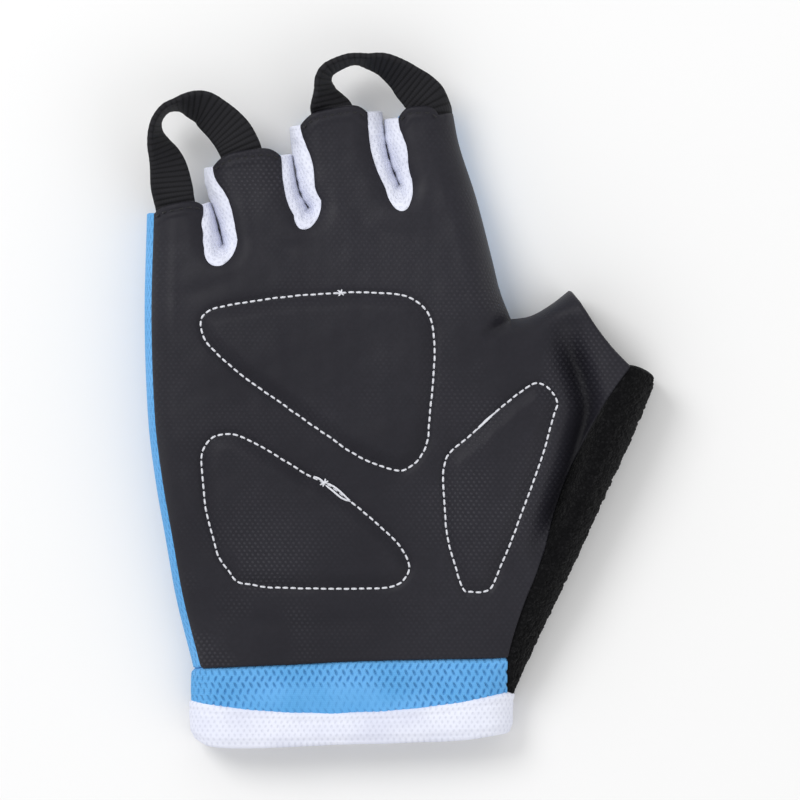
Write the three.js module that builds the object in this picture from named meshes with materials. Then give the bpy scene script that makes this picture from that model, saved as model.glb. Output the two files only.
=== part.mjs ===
// A fingerless training glove for the right hand, lying on its back with the palm up.
// Millimetres, +Z up, fingers towards +Y, thumb towards +X, the origin under the middle of the glove.
import * as THREE from 'three';

// Driving dimensions
const PALM_WIDTH = 91; // across the knuckles, laid flat
const GLOVE_LENGTH = 160; // from the wrist edge to the middle finger's edge
const GLOVE_HEIGHT = 22; // at the middle of the palm, pads left out
const SIDE_ROUND = 8; // how far in from the outline the palm side keeps rising
const FLOOR_ROUND = 6.5; // how far in from the outline the back side touches down
const GUSSET_SHOW = 5; // how much of a finger gusset shows from above
const SIDE_STRIP = 1.8; // how much of the back shows beside the palm
const SLIT_GAP = 0.5; // between two finger gussets
const SEAM_GAP = 0.3; // between two neighbouring pieces
const LEATHER_WALL = 1.4;
const MESH_WALL = 1.2;
const GUSSET_WALL = 1.0;
const TERRY_WALL = 2.0;
const BINDING_WALL = 2.2;
const BINDING_PROUD = 0.4; // how far the wrist binding stands out of the cuff
const WEBBING_WIDTH = 10;
const WEBBING_WALL = 1.3;
const PAD_RISE = 1.3; // foam under the palm
const PAD_SLOPE = 4; // how far in from its stitch line a pad reaches its full rise
const FOLD_DEPTH = 3.7; // the valley that the flattened thumb makes
const FOLD_WIDTH = 4.2;
const THUMB_BOW = 0.8; // how far the leather's edge at the thumb's opening bows inwards
const TERRY_BOW = 4.4; // and the terry's edge below it
const TERRY_ROLL = 0.9; // how far the terry bulges out between the seam and its outer side
const TIP_BULGE = 2.4; // how far a finger's edge bows out between its corners
const TIP_SKEW = 0.3; // how much more of that bow is on the thumb's side
const BACK_TRIM = 1; // how much shorter the fingers' backs are
const YOKE_GAP = 2.8; // between the slits' ends and the first even row of the panels
const YOKE_HEIGHT = 11.2; // of the rows that lead from there into the fingers, on the little side

const PALM_TURN = 0.45; // how much of SIDE_ROUND is the strip that turns down to the side
const BACK_TURN = 0.6; // and how much of FLOOR_ROUND
const BAND_TURN = 0.6; // and how much of SIDE_ROUND at the wrist
const EQUATOR = 0.42; // the widest level of a section, as a share of its height
const BACK_SHOW = 0.8; // a gusset's hidden side against its shown side

// How finely the curved walls are divided
const FINGER_ROWS = 4;
const FINGER_COLUMNS = 4;
const WEB_COLUMNS = 4;
const BODY_ROWS = 19;
const YOKE_ROWS = 2;
const CROTCH_STEPS = 4;
const THUMB_ROWS = 8;
const CUFF_ROWS = 2;
const RIBBON_STEPS = 34;
const RIBBON_COLUMNS = 3;
const SAMPLES = 24; // along a spline that distances are measured to

// The outline from above. Across is a share of PALM_WIDTH from the middle of the palm, and along
// is a share of GLOVE_LENGTH from the wrist edge.
const CUFF_SIDE = [
  { along: 0.0, across: -0.365 },
  { along: 0.07, across: -0.373 },
  { along: 0.125, across: -0.3725 },
];
const LITTLE_SIDE = [
  { along: 0.13, across: -0.371 },
  { along: 0.228, across: -0.414 },
  { along: 0.322, across: -0.4435 },
  { along: 0.416, across: -0.472 },
  { along: 0.509, across: -0.4915 },
  { along: 0.665, across: -0.5015 },
  { along: 0.831, across: -0.4955 },
];
const INDEX_SIDE = [
  { along: 0.667, across: 0.506 },
  { along: 0.709, across: 0.477 },
  { along: 0.759, across: 0.455 },
  { along: 0.856, across: 0.411 },
  { along: 0.939, across: 0.364 },
  { along: 0.988, across: 0.347 },
];
const THUMB_TOP = [
  { across: 0.506, along: 0.667 },
  { across: 0.56, along: 0.672 },
  { across: 0.615, along: 0.6895 },
  { across: 0.665, along: 0.7115 },
];
const THUMB_SIDE = [
  { along: 0.0, across: 0.506 },
  { along: 0.075, across: 0.508 },
  { along: 0.142, across: 0.557 },
  { along: 0.294, across: 0.684 },
  { along: 0.388, across: 0.759 },
  { along: 0.481, across: 0.835 },
  { along: 0.574, across: 0.903 },
];
// Where the leather meets the terry on the palm side, and the mesh meets it on the back
const TERRY_SEAM = [
  { along: 0.08, across: 0.498 },
  { along: 0.139, across: 0.498 },
  { along: 0.219, across: 0.538 },
  { along: 0.288, across: 0.585 },
  { along: 0.384, across: 0.635 },
  { along: 0.45, across: 0.681 },
  { along: 0.541, across: 0.764 },
  { along: 0.592, across: 0.83 },
];
const BACK_SEAM = [
  { along: 0.08, across: 0.455 },
  { along: 0.25, across: 0.445 },
  { along: 0.45, across: 0.44 },
  { along: 0.6, across: 0.468 },
  { along: 0.667, across: 0.506 },
];
// Edges that cross the wrist
const PALM_HEM = [
  { across: -0.38, along: 0.122 },
  { across: -0.13, along: 0.128 },
  { across: 0.08, along: 0.134 },
  { across: 0.5, along: 0.139 },
];
const BINDING_TOP = [
  { across: -0.373, along: 0.068 },
  { across: -0.27, along: 0.058 },
  { across: -0.02, along: 0.049 },
  { across: 0.28, along: 0.059 },
  { across: 0.506, along: 0.081 },
];
const BINDING_BOTTOM = [
  { across: -0.365, along: 0.012 },
  { across: -0.33, along: 0.003 },
  { across: -0.24, along: 0.0 },
  { across: 0.0, along: 0.005 },
  { across: 0.36, along: 0.0125 },
  { across: 0.506, along: 0.0234 },
];
// The slits between the fingers. Each wall runs from its finger's edge to the slit's bottom, and
// the shows are shares of GUSSET_SHOW at the edge, half way down and beside the bottom.
const SLITS = [
  {
    name: 'little_ring',
    bottom: { across: -0.288, along: 0.786 },
    below: 1.15,
    little: {
      rows: [
        { across: -0.322, along: 0.849 },
        { across: -0.313, along: 0.822 },
      ],
      shows: [0.42, 0.7, 0.95],
    },
    thumb: {
      rows: [
        { across: -0.339, along: 0.897 },
        { across: -0.332, along: 0.872 },
        { across: -0.308, along: 0.822 },
      ],
      shows: [0.45, 0.88, 0.84],
    },
  },
  {
    name: 'ring_middle',
    bottom: { across: -0.051, along: 0.841 },
    below: 1.1,
    little: {
      rows: [
        { across: -0.088, along: 0.916 },
        { across: -0.078, along: 0.872 },
      ],
      shows: [0.7, 0.74, 0.9],
    },
    thumb: {
      rows: [
        { across: -0.102, along: 0.966 },
        { across: -0.091, along: 0.923 },
        { across: -0.072, along: 0.869 },
      ],
      shows: [0.5, 0.9, 0.7],
    },
  },
  {
    name: 'middle_index',
    bottom: { across: 0.2, along: 0.878 },
    below: 1.42,
    little: {
      rows: [
        { across: 0.15, along: 0.988 },
        { across: 0.154, along: 0.955 },
        { across: 0.166, along: 0.914 },
      ],
      shows: [0.66, 0.74, 0.8],
    },
    thumb: {
      rows: [
        { across: 0.154, along: 0.978 },
        { across: 0.158, along: 0.947 },
        { across: 0.17, along: 0.911 },
      ],
      shows: [0.7, 1.05, 0.72],
    },
  },
];
const FINGERS = [
  { name: 'little', bulge: 0.58 },
  { name: 'ring', bulge: 0.92 },
  { name: 'middle', bulge: 1.08 },
  { name: 'index', bulge: 1.0 },
];
const LITTLE_BASE = 0.786; // along, where the little and the index finger leave the palm
const INDEX_BASE = 0.845;

// How high the glove stands, as shares of GLOVE_HEIGHT that multiply each other
const LENGTHWISE = [
  { along: 0.0, high: 0.55 },
  { along: 0.07, high: 0.58 },
  { along: 0.14, high: 0.66 },
  { along: 0.3, high: 0.86 },
  { along: 0.5, high: 1.0 },
  { along: 0.68, high: 0.97 },
  { along: 0.8, high: 0.85 },
  { along: 0.9, high: 0.75 },
  { along: 1.0, high: 0.7 },
];
const CROSSWISE = [
  { across: -0.5, high: 0.88 },
  { across: -0.25, high: 0.98 },
  { across: 0.05, high: 1.0 },
  { across: 0.4, high: 0.98 },
  { across: 0.65, high: 0.88 },
  { across: 0.9, high: 0.76 },
];
// Valleys in the palm side. Depth and width are shares of FOLD_DEPTH and FOLD_WIDTH.
const FOLDS = [
  {
    depth: 1.0,
    width: 1.0,
    rows: [
      { across: 0.665, along: 0.65 },
      { across: 0.698, along: 0.564 },
      { across: 0.692, along: 0.486 },
      { across: 0.646, along: 0.4 },
      { across: 0.596, along: 0.306 },
    ],
  },
  {
    depth: 0.35,
    width: 0.4,
    rows: [
      { across: 0.5, along: 0.667 },
      { across: 0.455, along: 0.65 },
      { across: 0.43, along: 0.635 },
    ],
  },
];
// Corners of the three sewn pads, with the radius of each corner as a share of PALM_WIDTH
const PADS = [
  [
    { across: -0.371, along: 0.678, round: 0.04 },
    { across: 0.033, along: 0.709, round: 0.6 },
    { across: 0.291, along: 0.711, round: 0.075 },
    { across: 0.272, along: 0.404, round: 0.08 },
  ],
  [
    { across: -0.349, along: 0.51, round: 0.06 },
    { across: 0.06, along: 0.381, round: 0.5 },
    { across: 0.291, along: 0.245, round: 0.045 },
    { across: -0.28, along: 0.25, round: 0.125 },
  ],
  [
    { across: 0.662, along: 0.614, round: 0.037 },
    { across: 0.442, along: 0.241, round: 0.022 },
    { across: 0.365, along: 0.242, round: 0.014 },
    { across: 0.313, along: 0.36, round: 0.35 },
    { across: 0.313, along: 0.463, round: 0.027 },
  ],
];
// The pull loops, from one finger to the next. Tilt turns the webbing on its edge, in degrees.
const LOOPS = [
  {
    name: 'pull_loop_little_ring',
    rows: [
      { across: -0.41, along: 0.8, tilt: 0 },
      { across: -0.414, along: 0.836, tilt: 0 },
      { across: -0.422, along: 0.8625, tilt: 6 },
      { across: -0.4295, along: 0.9, tilt: 30 },
      { across: -0.439, along: 0.9205, tilt: 44 },
      { across: -0.454, along: 0.9405, tilt: 61 },
      { across: -0.4627, along: 0.9594, tilt: 77 },
      { across: -0.459, along: 0.977, tilt: 84 },
      { across: -0.438, along: 0.9925, tilt: 84 },
      { across: -0.4066, along: 0.998, tilt: 79 },
      { across: -0.3795, along: 0.998, tilt: 59 },
      { across: -0.341, along: 0.9938, tilt: 38 },
      { across: -0.3075, along: 0.98, tilt: 28 },
      { across: -0.278, along: 0.965, tilt: 18 },
      { across: -0.254, along: 0.948, tilt: 10 },
      { across: -0.234, along: 0.923, tilt: 0 },
      { across: -0.225, along: 0.892, tilt: 0 },
    ],
  },
  {
    name: 'pull_loop_middle_index',
    rows: [
      { across: 0.022, along: 0.961, tilt: 0 },
      { across: 0.0165, along: 0.985, tilt: 0 },
      { across: 0.012, along: 1.0, tilt: 18 },
      { across: 0.0065, along: 1.0125, tilt: 46 },
      { across: 0.001, along: 1.025, tilt: 65 },
      { across: -0.0028, along: 1.0406, tilt: 73 },
      { across: 0.0104, along: 1.0544, tilt: 77 },
      { across: 0.0533, along: 1.0664, tilt: 80 },
      { across: 0.0824, along: 1.069, tilt: 82 },
      { across: 0.1137, along: 1.0656, tilt: 76 },
      { across: 0.1555, along: 1.0603, tilt: 62 },
      { across: 0.1973, along: 1.0459, tilt: 48 },
      { across: 0.226, along: 1.032, tilt: 32 },
      { across: 0.254, along: 1.019, tilt: 14 },
      { across: 0.28, along: 1.003, tilt: 0 },
      { across: 0.291, along: 0.983, tilt: 0 },
      { across: 0.28, along: 0.955, tilt: 0 },
    ],
  },
];

// Shares of the way from the outline to an inset edge, closer together where the wall is steep
const ROUNDING = [0.02, 0.1, 0.28, 0.58, 1];
const PALM = 1;
const BACK = -1;

// Curves and tables

const plan = (row) => new THREE.Vector2(row.across * PALM_WIDTH, row.along * GLOVE_LENGTH);
const smooth = (t) => t * t * (3 - 2 * t);
const unit = (t) => Math.min(1, Math.max(0, t));
const count = (n) => Array.from({ length: n + 1 }, (_, i) => i / n);

// A table's column as a smooth function of its key, straight on past both ends.
function lookup(rows, key, at, column) {
  const last = rows.length - 1;
  const slope = (i) => {
    const a = rows[Math.max(0, i - 1)];
    const b = rows[Math.min(last, i + 1)];
    return (b[column] - a[column]) / (b[key] - a[key]);
  };
  if (at <= rows[0][key]) return rows[0][column] + slope(0) * (at - rows[0][key]);
  if (at >= rows[last][key]) return rows[last][column] + slope(last) * (at - rows[last][key]);
  const i = rows.findIndex((row, n) => n < last && at <= rows[n + 1][key]);
  const span = rows[i + 1][key] - rows[i][key];
  const t = (at - rows[i][key]) / span;
  const rise = rows[i + 1][column] - rows[i][column];
  const bend = slope(i) * span * t * (1 - t) ** 2 - slope(i + 1) * span * t * t * (1 - t);
  return rows[i][column] + rise * smooth(t) + bend;
}

const outlineAt = (rows, y) =>
  new THREE.Vector2(lookup(rows, 'along', y / GLOVE_LENGTH, 'across') * PALM_WIDTH, y);
const edgeAt = (rows, x) =>
  new THREE.Vector2(x, lookup(rows, 'across', x / PALM_WIDTH, 'along') * GLOVE_LENGTH);

// A point of an outline that keeps to one side, with the direction into the glove.
function station(rows, y, inwards) {
  const s = outlineAt(rows, y);
  const along = outlineAt(rows, y + 0.5).sub(outlineAt(rows, y - 0.5)).normalize();
  const dir = new THREE.Vector2(along.y, -along.x);
  return { s, dir: dir.x * inwards > 0 ? dir : dir.negate() };
}

const inset = (at, distance) => at.s.clone().addScaledVector(at.dir, distance);

// Stations of one wall of a slit, from its finger's edge down to the slit's bottom.
function slitWall(slit, side) {
  const towards = side === 'little' ? -1 : 1;
  const points = [...slit[side].rows, slit.bottom].map(plan);
  for (const p of points) p.x += (towards * SLIT_GAP) / 2;
  const curve = new THREE.SplineCurve(points);
  const [tip, middle, web] = slit[side].shows;
  return count(FINGER_ROWS).map((t) => {
    const tangent = curve.getTangentAt(t);
    const dir = new THREE.Vector2(-tangent.y, tangent.x);
    if (dir.x * towards < 0) dir.negate();
    const upper = tip + (middle - tip) * smooth(2 * t);
    const show = t < 0.5 ? upper : middle + (web - middle) * smooth(2 * t - 1);
    return { s: curve.getPointAt(t), dir, show: show * GUSSET_SHOW };
  });
}

// All stations round a slit: down the little side, round the bottom and up the thumb side.
function slitStations(slit) {
  const down = slitWall(slit, 'little');
  const up = slitWall(slit, 'thumb').reverse();
  const from = down[FINGER_ROWS];
  const to = up[0];
  const centre = from.s.clone().add(to.s).multiplyScalar(0.5);
  const radius = from.s.distanceTo(to.s) / 2;
  const deep = radius + slit.below * GUSSET_SHOW;
  const round = count(WEB_COLUMNS).slice(1, -1).map((t) => {
    const across = -Math.cos(Math.PI * t);
    const arm = across < 0 ? from : to;
    const point = arm.dir.clone().multiplyScalar(Math.abs(across) * (radius + arm.show));
    point.y -= deep * Math.sin(Math.PI * t);
    const dir = point.clone().normalize();
    return { s: centre.clone().addScaledVector(dir, radius), dir, show: point.length() - radius };
  });
  return [...down, ...round, ...up];
}

const slits = SLITS.map(slitStations);
const WEB_START = FINGER_ROWS;
const WEB_END = FINGER_ROWS + WEB_COLUMNS;

// The index side from the thumb's crotch to the finger's edge, and the thumb's upper edge.
const crotch = plan(THUMB_TOP[0]);
const indexBase = INDEX_BASE * GLOVE_LENGTH;
const indexTip = INDEX_SIDE[INDEX_SIDE.length - 1].along * GLOVE_LENGTH;
const littleBase = LITTLE_BASE * GLOVE_LENGTH;
const littleTip = LITTLE_SIDE[LITTLE_SIDE.length - 1].along * GLOVE_LENGTH;
const INDEX_STEPS = 5;

const indexBody = count(INDEX_STEPS).map((t) =>
  station(INDEX_SIDE, indexBase + (crotch.y - indexBase) * t, -1),
);
const indexFinger = count(FINGER_ROWS).map((t) =>
  station(INDEX_SIDE, indexBase + (indexTip - indexBase) * t, -1),
);
const thumbCurve = new THREE.SplineCurve(THUMB_TOP.map(plan));

function thumbStation(t) {
  const tangent = thumbCurve.getTangentAt(t);
  return { s: thumbCurve.getPointAt(t), dir: new THREE.Vector2(tangent.y, -tangent.x) };
}

const thumbTop = count(THUMB_ROWS).map(thumbStation);
const crotchFan = count(CROTCH_STEPS).map((t) => {
  const from = indexBody[INDEX_STEPS].dir;
  const to = thumbTop[0].dir;
  const start = Math.atan2(from.y, from.x) - (from.y > 0 ? 2 * Math.PI : 0);
  const angle = start + (Math.atan2(to.y, to.x) - start) * t;
  return { s: crotch, dir: new THREE.Vector2(Math.cos(angle), Math.sin(angle)) };
});

// Heights

// Every line that the sides of the glove run along, carried on past its open ends.
function sideLines() {
  const walk = (rows, from, to) =>
    count(SAMPLES).map((t) => outlineAt(rows, (from + (to - from) * t) * GLOVE_LENGTH));
  const wall = (stations) => {
    const [tip, next] = stations;
    const past = tip.s.clone().sub(next.s).setLength(SIDE_ROUND).add(tip.s);
    return [past, ...stations.map((at) => at.s)];
  };
  return [
    walk(CUFF_SIDE, -0.05, CUFF_SIDE[CUFF_SIDE.length - 1].along),
    walk(LITTLE_SIDE, LITTLE_SIDE[0].along, 0.9),
    walk(INDEX_SIDE, INDEX_SIDE[0].along, 1.05),
    walk(THUMB_SIDE, -0.05, 0.61),
    wall([...thumbTop].reverse()),
    ...slits.flatMap((stations) => [
      wall(stations.slice(0, WEB_START + WEB_COLUMNS / 2 + 1)),
      wall([...stations].reverse().slice(0, WEB_START + WEB_COLUMNS / 2 + 1)),
    ]),
  ];
}

function distanceTo(line, x, y) {
  let least = Infinity;
  for (let i = 1; i < line.length; i++) {
    const a = line[i - 1];
    const dx = line[i].x - a.x;
    const dy = line[i].y - a.y;
    const t = unit(((x - a.x) * dx + (y - a.y) * dy) / (dx * dx + dy * dy || 1));
    least = Math.min(least, Math.hypot(x - a.x - dx * t, y - a.y - dy * t));
  }
  return least;
}

const sides = sideLines();
const folds = FOLDS.map((fold) => ({
  ...fold,
  line: new THREE.SplineCurve(fold.rows.map(plan)).getPoints(SAMPLES),
}));

const standing = (x, y) =>
  GLOVE_HEIGHT *
  lookup(LENGTHWISE, 'along', y / GLOVE_LENGTH, 'high') *
  lookup(CROSSWISE, 'across', x / PALM_WIDTH, 'high');
const equator = (x, y) => EQUATOR * standing(x, y);

function valley(x, y) {
  return folds.reduce((sum, fold) => {
    const q = distanceTo(fold.line, x, y) / (fold.width * FOLD_WIDTH);
    return sum + fold.depth * FOLD_DEPTH * Math.exp(-q * q);
  }, 0);
}

// The height of the outer surface on the palm side or the back.
function height(face, x, y) {
  const d = Math.min(...sides.map((line) => distanceTo(line, x, y)));
  const q = 1 - Math.min(1, d / (face === PALM ? SIDE_ROUND : FLOOR_ROUND));
  const share = Math.sqrt(1 - q * q);
  const level = equator(x, y);
  if (face === BACK) return level * (1 - share);
  return level + (standing(x, y) - level) * share - valley(x, y) * share;
}

// Corners turned into arcs, as a closed line of points.
function roundedOutline(corners) {
  const path = new THREE.Path();
  const points = corners.map(plan);
  corners.forEach((corner, i) => {
    const here = points[i];
    const before = points.at(i - 1).clone().sub(here);
    const after = points[(i + 1) % points.length].clone().sub(here);
    const half = Math.abs(before.angle() - after.angle()) / 2;
    const reach = (corner.round * PALM_WIDTH) / Math.abs(Math.tan(half));
    const room = 0.48 * Math.min(before.length(), after.length());
    const cut = Math.min(reach, room);
    const start = before.setLength(cut).add(here);
    const end = after.setLength(cut).add(here);
    if (i === 0) path.moveTo(start.x, start.y);
    else path.lineTo(start.x, start.y);
    path.quadraticCurveTo(here.x, here.y, end.x, end.y);
  });
  path.closePath();
  return path.getPoints(SAMPLES / 3);
}

const pads = PADS.map(roundedOutline);

function insideOf(line, x, y) {
  let inside = false;
  for (let i = 1; i < line.length; i++) {
    const a = line[i - 1];
    const b = line[i];
    if (a.y > y !== b.y > y && x < ((b.x - a.x) * (y - a.y)) / (b.y - a.y) + a.x) inside = !inside;
  }
  return inside;
}

const padRise = (x, y) =>
  pads.reduce((rise, line) => {
    if (!insideOf(line, x, y)) return rise;
    return rise + PAD_RISE * smooth(unit(distanceTo(line, x, y) / PAD_SLOPE));
  }, 0);

// Walls: a vertex has a point on the outer surface and the one behind it on the inner surface

function wallVertex(face, { x, y }, wall, lift = 0) {
  const step = 0.05;
  const slope = (dx, dy) => (height(face, x + dx, y + dy) - height(face, x - dx, y - dy)) / (2 * step);
  const normal = new THREE.Vector3(-face * slope(step, 0), -face * slope(0, step), 1).normalize();
  normal.z *= face;
  if (face === BACK) normal.set(-normal.x * BACK, -normal.y * BACK, normal.z);
  const surface = new THREE.Vector3(x, y, height(face, x, y));
  const inner = surface.clone().addScaledVector(normal, -wall);
  return { outer: surface.setZ(surface.z + lift), inner };
}

function equatorVertex(at, wall, shift = 0) {
  const z = equator(at.s.x, at.s.y) + shift;
  const behind = inset(at, wall);
  return {
    outer: new THREE.Vector3(at.s.x, at.s.y, z),
    inner: new THREE.Vector3(behind.x, behind.y, z),
  };
}

// A closed solid from grids of vertices that share their common edges.
class Sheet {
  constructor() {
    this.vertices = [];
    this.found = new Map();
    this.faces = [];
  }

  index(vertex) {
    const key = vertex.outer.toArray().map((n) => Math.round(n * 500)).join();
    if (!this.found.has(key)) this.found.set(key, this.vertices.push(vertex) - 1);
    return this.found.get(key);
  }

  face(a, b, c) {
    if (a === b || b === c || a === c) return;
    const [p, q, r] = [a, b, c].map((i) => this.vertices[i]);
    const normal = q.outer.clone().sub(p.outer).cross(r.outer.clone().sub(p.outer));
    const outwards = [p, q, r].reduce(
      (sum, v) => sum.add(v.outer).sub(v.inner),
      new THREE.Vector3(),
    );
    this.faces.push(normal.dot(outwards) < 0 ? [a, c, b] : [a, b, c]);
  }

  // Each cell is split along its shorter diagonal.
  grid(rows) {
    const at = rows.map((row) => row.map((vertex) => this.index(vertex)));
    const apart = (a, b) => this.vertices[a].outer.distanceTo(this.vertices[b].outer);
    for (let j = 1; j < at.length; j++)
      for (let i = 1; i < at[j].length; i++) {
        const [a, b, c, d] = [at[j - 1][i - 1], at[j - 1][i], at[j][i], at[j][i - 1]];
        if (apart(a, c) <= apart(b, d)) {
          this.face(a, b, c);
          this.face(a, c, d);
        } else {
          this.face(a, b, d);
          this.face(b, c, d);
        }
      }
    return this;
  }

  geometry() {
    const behind = this.vertices.length;
    const edges = new Map();
    const index = [];
    for (const [a, b, c] of this.faces) {
      index.push(a, b, c, a + behind, c + behind, b + behind);
      for (const [p, q] of [[a, b], [b, c], [c, a]]) {
        if (edges.has(q + ':' + p)) edges.delete(q + ':' + p);
        else edges.set(p + ':' + q, [p, q]);
      }
    }
    for (const [p, q] of edges.values()) index.push(q, p, p + behind, q, p + behind, q + behind);
    const points = [...this.vertices.map((v) => v.outer), ...this.vertices.map((v) => v.inner)];
    const geometry = new THREE.BufferGeometry().setFromPoints(points);
    geometry.setIndex(index);
    return geometry;
  }
}

// Points inside four edges that meet at their corners: bottom and top run the same way, and so
// do left and right.
function coons(bottom, top, left, right) {
  const across = bottom.map((p) => p.distanceTo(bottom[0]) / bottom[0].distanceTo(bottom.at(-1)));
  return left.map((l, j) => {
    const v = j / (left.length - 1);
    return bottom.map((b, i) => {
      const u = across[i];
      const point = b.clone().lerp(top[i], v);
      const onLeft = bottom[0].clone().lerp(top[0], v);
      const onRight = bottom.at(-1).clone().lerp(top.at(-1), v);
      point.addScaledVector(l.clone().sub(onLeft), 1 - u);
      return point.addScaledVector(right[j].clone().sub(onRight), u);
    });
  });
}

const straight = (a, b, steps) => count(steps).map((t) => a.clone().lerp(b, t));

// A straight row of points bent to its left, most in its middle.
function bowed(points, depth) {
  const along = points.at(-1).clone().sub(points[0]);
  const left = new THREE.Vector2(-along.y, along.x).normalize();
  return points.map((p) => {
    const t = p.distanceTo(points[0]) / along.length();
    return p.clone().addScaledVector(left, depth * 4 * t * (1 - t));
  });
}

// The edges of a hand-shaped panel. Reach gives a slit station's inset, and the side edges are
// lists of points from the wrist up.
function panelGrids({ reach, hem, littleBody, littleFinger, rightBody, rightFinger, trim }) {
  const edges = slits.map((stations) => stations.map((at) => inset(at, reach(at))));
  const starts = [littleFinger[0], ...edges.map((edge) => edge[WEB_END])];
  const ends = [...edges.map((edge) => edge[WEB_START]), rightFinger[0]];
  const bases = FINGERS.map((finger, i) => straight(starts[i], ends[i], FINGER_COLUMNS));
  const crotchRow = bases.flatMap((base, i) =>
    i < edges.length ? [...base, ...edges[i].slice(WEB_START + 1, WEB_END)] : base,
  );
  const first = crotchRow[0];
  const width = crotchRow.at(-1).x - first.x;
  const hemRow = crotchRow.map((p) => {
    const x = littleBody[0].x + (rightBody[0].x - littleBody[0].x) * ((p.x - first.x) / width);
    return hem(x);
  });
  hemRow[0] = littleBody[0];
  hemRow[hemRow.length - 1] = rightBody[0];
  const yokeLeft = littleBody.at(-1 - YOKE_ROWS);
  const yokeRight = rightBody.at(-1 - YOKE_ROWS);
  const line = [
    { x: yokeLeft.x, y: yokeLeft.y },
    ...edges.map((edge) => {
      const { x, y } = edge[WEB_START + WEB_COLUMNS / 2];
      return { x, y: y - YOKE_GAP };
    }),
    { x: yokeRight.x, y: yokeRight.y },
  ];
  const yokeRow = crotchRow.map((p) => {
    const u = (p.x - first.x) / width;
    const spread = (yokeRight.x - crotchRow.at(-1).x) * u ** 3;
    const x = p.x + (yokeLeft.x - first.x) * (1 - u) ** 3 + spread;
    return new THREE.Vector2(x, lookup(line, 'x', x, 'y'));
  });
  const body = coons(
    hemRow,
    yokeRow,
    littleBody.slice(0, -YOKE_ROWS),
    rightBody.slice(0, -YOKE_ROWS),
  );
  const yoke = count(YOKE_ROWS).map((t, j) => {
    const row = yokeRow.map((p, i) => p.clone().lerp(crotchRow[i], t));
    row[0] = littleBody.at(j - 1 - YOKE_ROWS);
    row[row.length - 1] = rightBody.at(j - 1 - YOKE_ROWS);
    return row;
  });
  const fingers = FINGERS.map((finger, i) => {
    const left = i === 0 ? littleFinger : edges[i - 1].slice(WEB_END);
    const outer = i === FINGERS.length - 1;
    const right = outer ? rightFinger : edges[i].slice(0, WEB_START + 1).reverse();
    const tip = straight(left.at(-1), right.at(-1), FINGER_COLUMNS).map((p, n) => {
      const s = (2 * n) / FINGER_COLUMNS - 1;
      p.y += (finger.bulge * TIP_BULGE - trim) * (1 - s ** 4) * (1 + TIP_SKEW * s);
      return p;
    });
    return coons(bases[i], tip, left, right);
  });
  return [body, yoke, ...fingers];
}

const littleBodyY = (from) => {
  const yoke = littleBase - YOKE_HEIGHT;
  return [
    ...count(BODY_ROWS - YOKE_ROWS).map((t) => from + (yoke - from) * t),
    ...count(YOKE_ROWS).slice(1).map((t) => yoke + (littleBase - yoke) * t),
  ];
};
const littleFingerY = count(FINGER_ROWS).map((t) => littleBase + (littleTip - littleBase) * t);
const middleFan = CROTCH_STEPS / 2;
const LOWER_ROWS = BODY_ROWS - INDEX_STEPS - middleFan;

// The levels of the rows that meet at the seam between the leather and the terry.
function seamLevels(from) {
  const top = TERRY_SEAM.at(-1).along * GLOVE_LENGTH;
  return count(THUMB_ROWS + middleFan).map((t) => from + (top - from) * t);
}

// The leather palm: hand-shaped, with the thumb's front, wrapping round to the index side.
function palmPanel() {
  const reach = SIDE_ROUND * PALM_TURN;
  const gap = SEAM_GAP / 2;
  const vertex = (p) => wallVertex(PALM, p, LEATHER_WALL, padRise(p.x, p.y));
  const side = (y) => inset(station(LITTLE_SIDE, y, 1), SIDE_STRIP + gap);
  const hem = (x) => edgeAt(PALM_HEM, x).add(new THREE.Vector2(0, gap));
  const corner = outlineAt(TERRY_SEAM, TERRY_SEAM[1].along * GLOVE_LENGTH);
  corner.x -= gap;
  const lower = hem(corner.x);
  const fork = inset(crotchFan[middleFan], reach);
  const rightBody = [
    ...straight(lower, fork, LOWER_ROWS),
    ...crotchFan.slice(0, middleFan).reverse().map((at) => inset(at, reach)),
    ...[...indexBody].reverse().slice(1).map((at) => inset(at, reach)),
  ];
  const start = side(hem(-PALM_WIDTH / 2).y);
  const littleBody = littleBodyY(hem(start.x).y).map(side);
  const grids = panelGrids({
    reach: (at) => at.show + gap,
    hem,
    littleBody,
    littleFinger: littleFingerY.map(side),
    rightBody,
    rightFinger: indexFinger.map((at) => inset(at, reach)),
    trim: 0,
  });
  const thumbEdge = [
    ...crotchFan.slice(middleFan).map((at) => inset(at, reach)),
    ...thumbTop.slice(1).map((at) => inset(at, reach)),
  ];
  const seam = seamLevels(lower.y).map((y) => inset(station(TERRY_SEAM, y, -1), gap));
  seam[0] = lower;
  const tip = bowed(straight(seam.at(-1), thumbEdge.at(-1), LOWER_ROWS), THUMB_BOW);
  const thumb = coons(rightBody.slice(0, LOWER_ROWS + 1), tip, seam, thumbEdge);
  const wraps = [
    ...[...indexFinger].reverse(),
    ...indexBody.slice(1),
    ...crotchFan.slice(1),
    ...thumbTop.slice(1),
  ];
  const sheet = new Sheet();
  for (const grid of [...grids, thumb]) sheet.grid(grid.map((row) => row.map(vertex)));
  sheet.grid(
    wraps.map((at) => [
      equatorVertex(at, LEATHER_WALL, gap),
      ...ROUNDING.map((share) => vertex(inset(at, reach * share))),
    ]),
  );
  return sheet.geometry();
}

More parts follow.
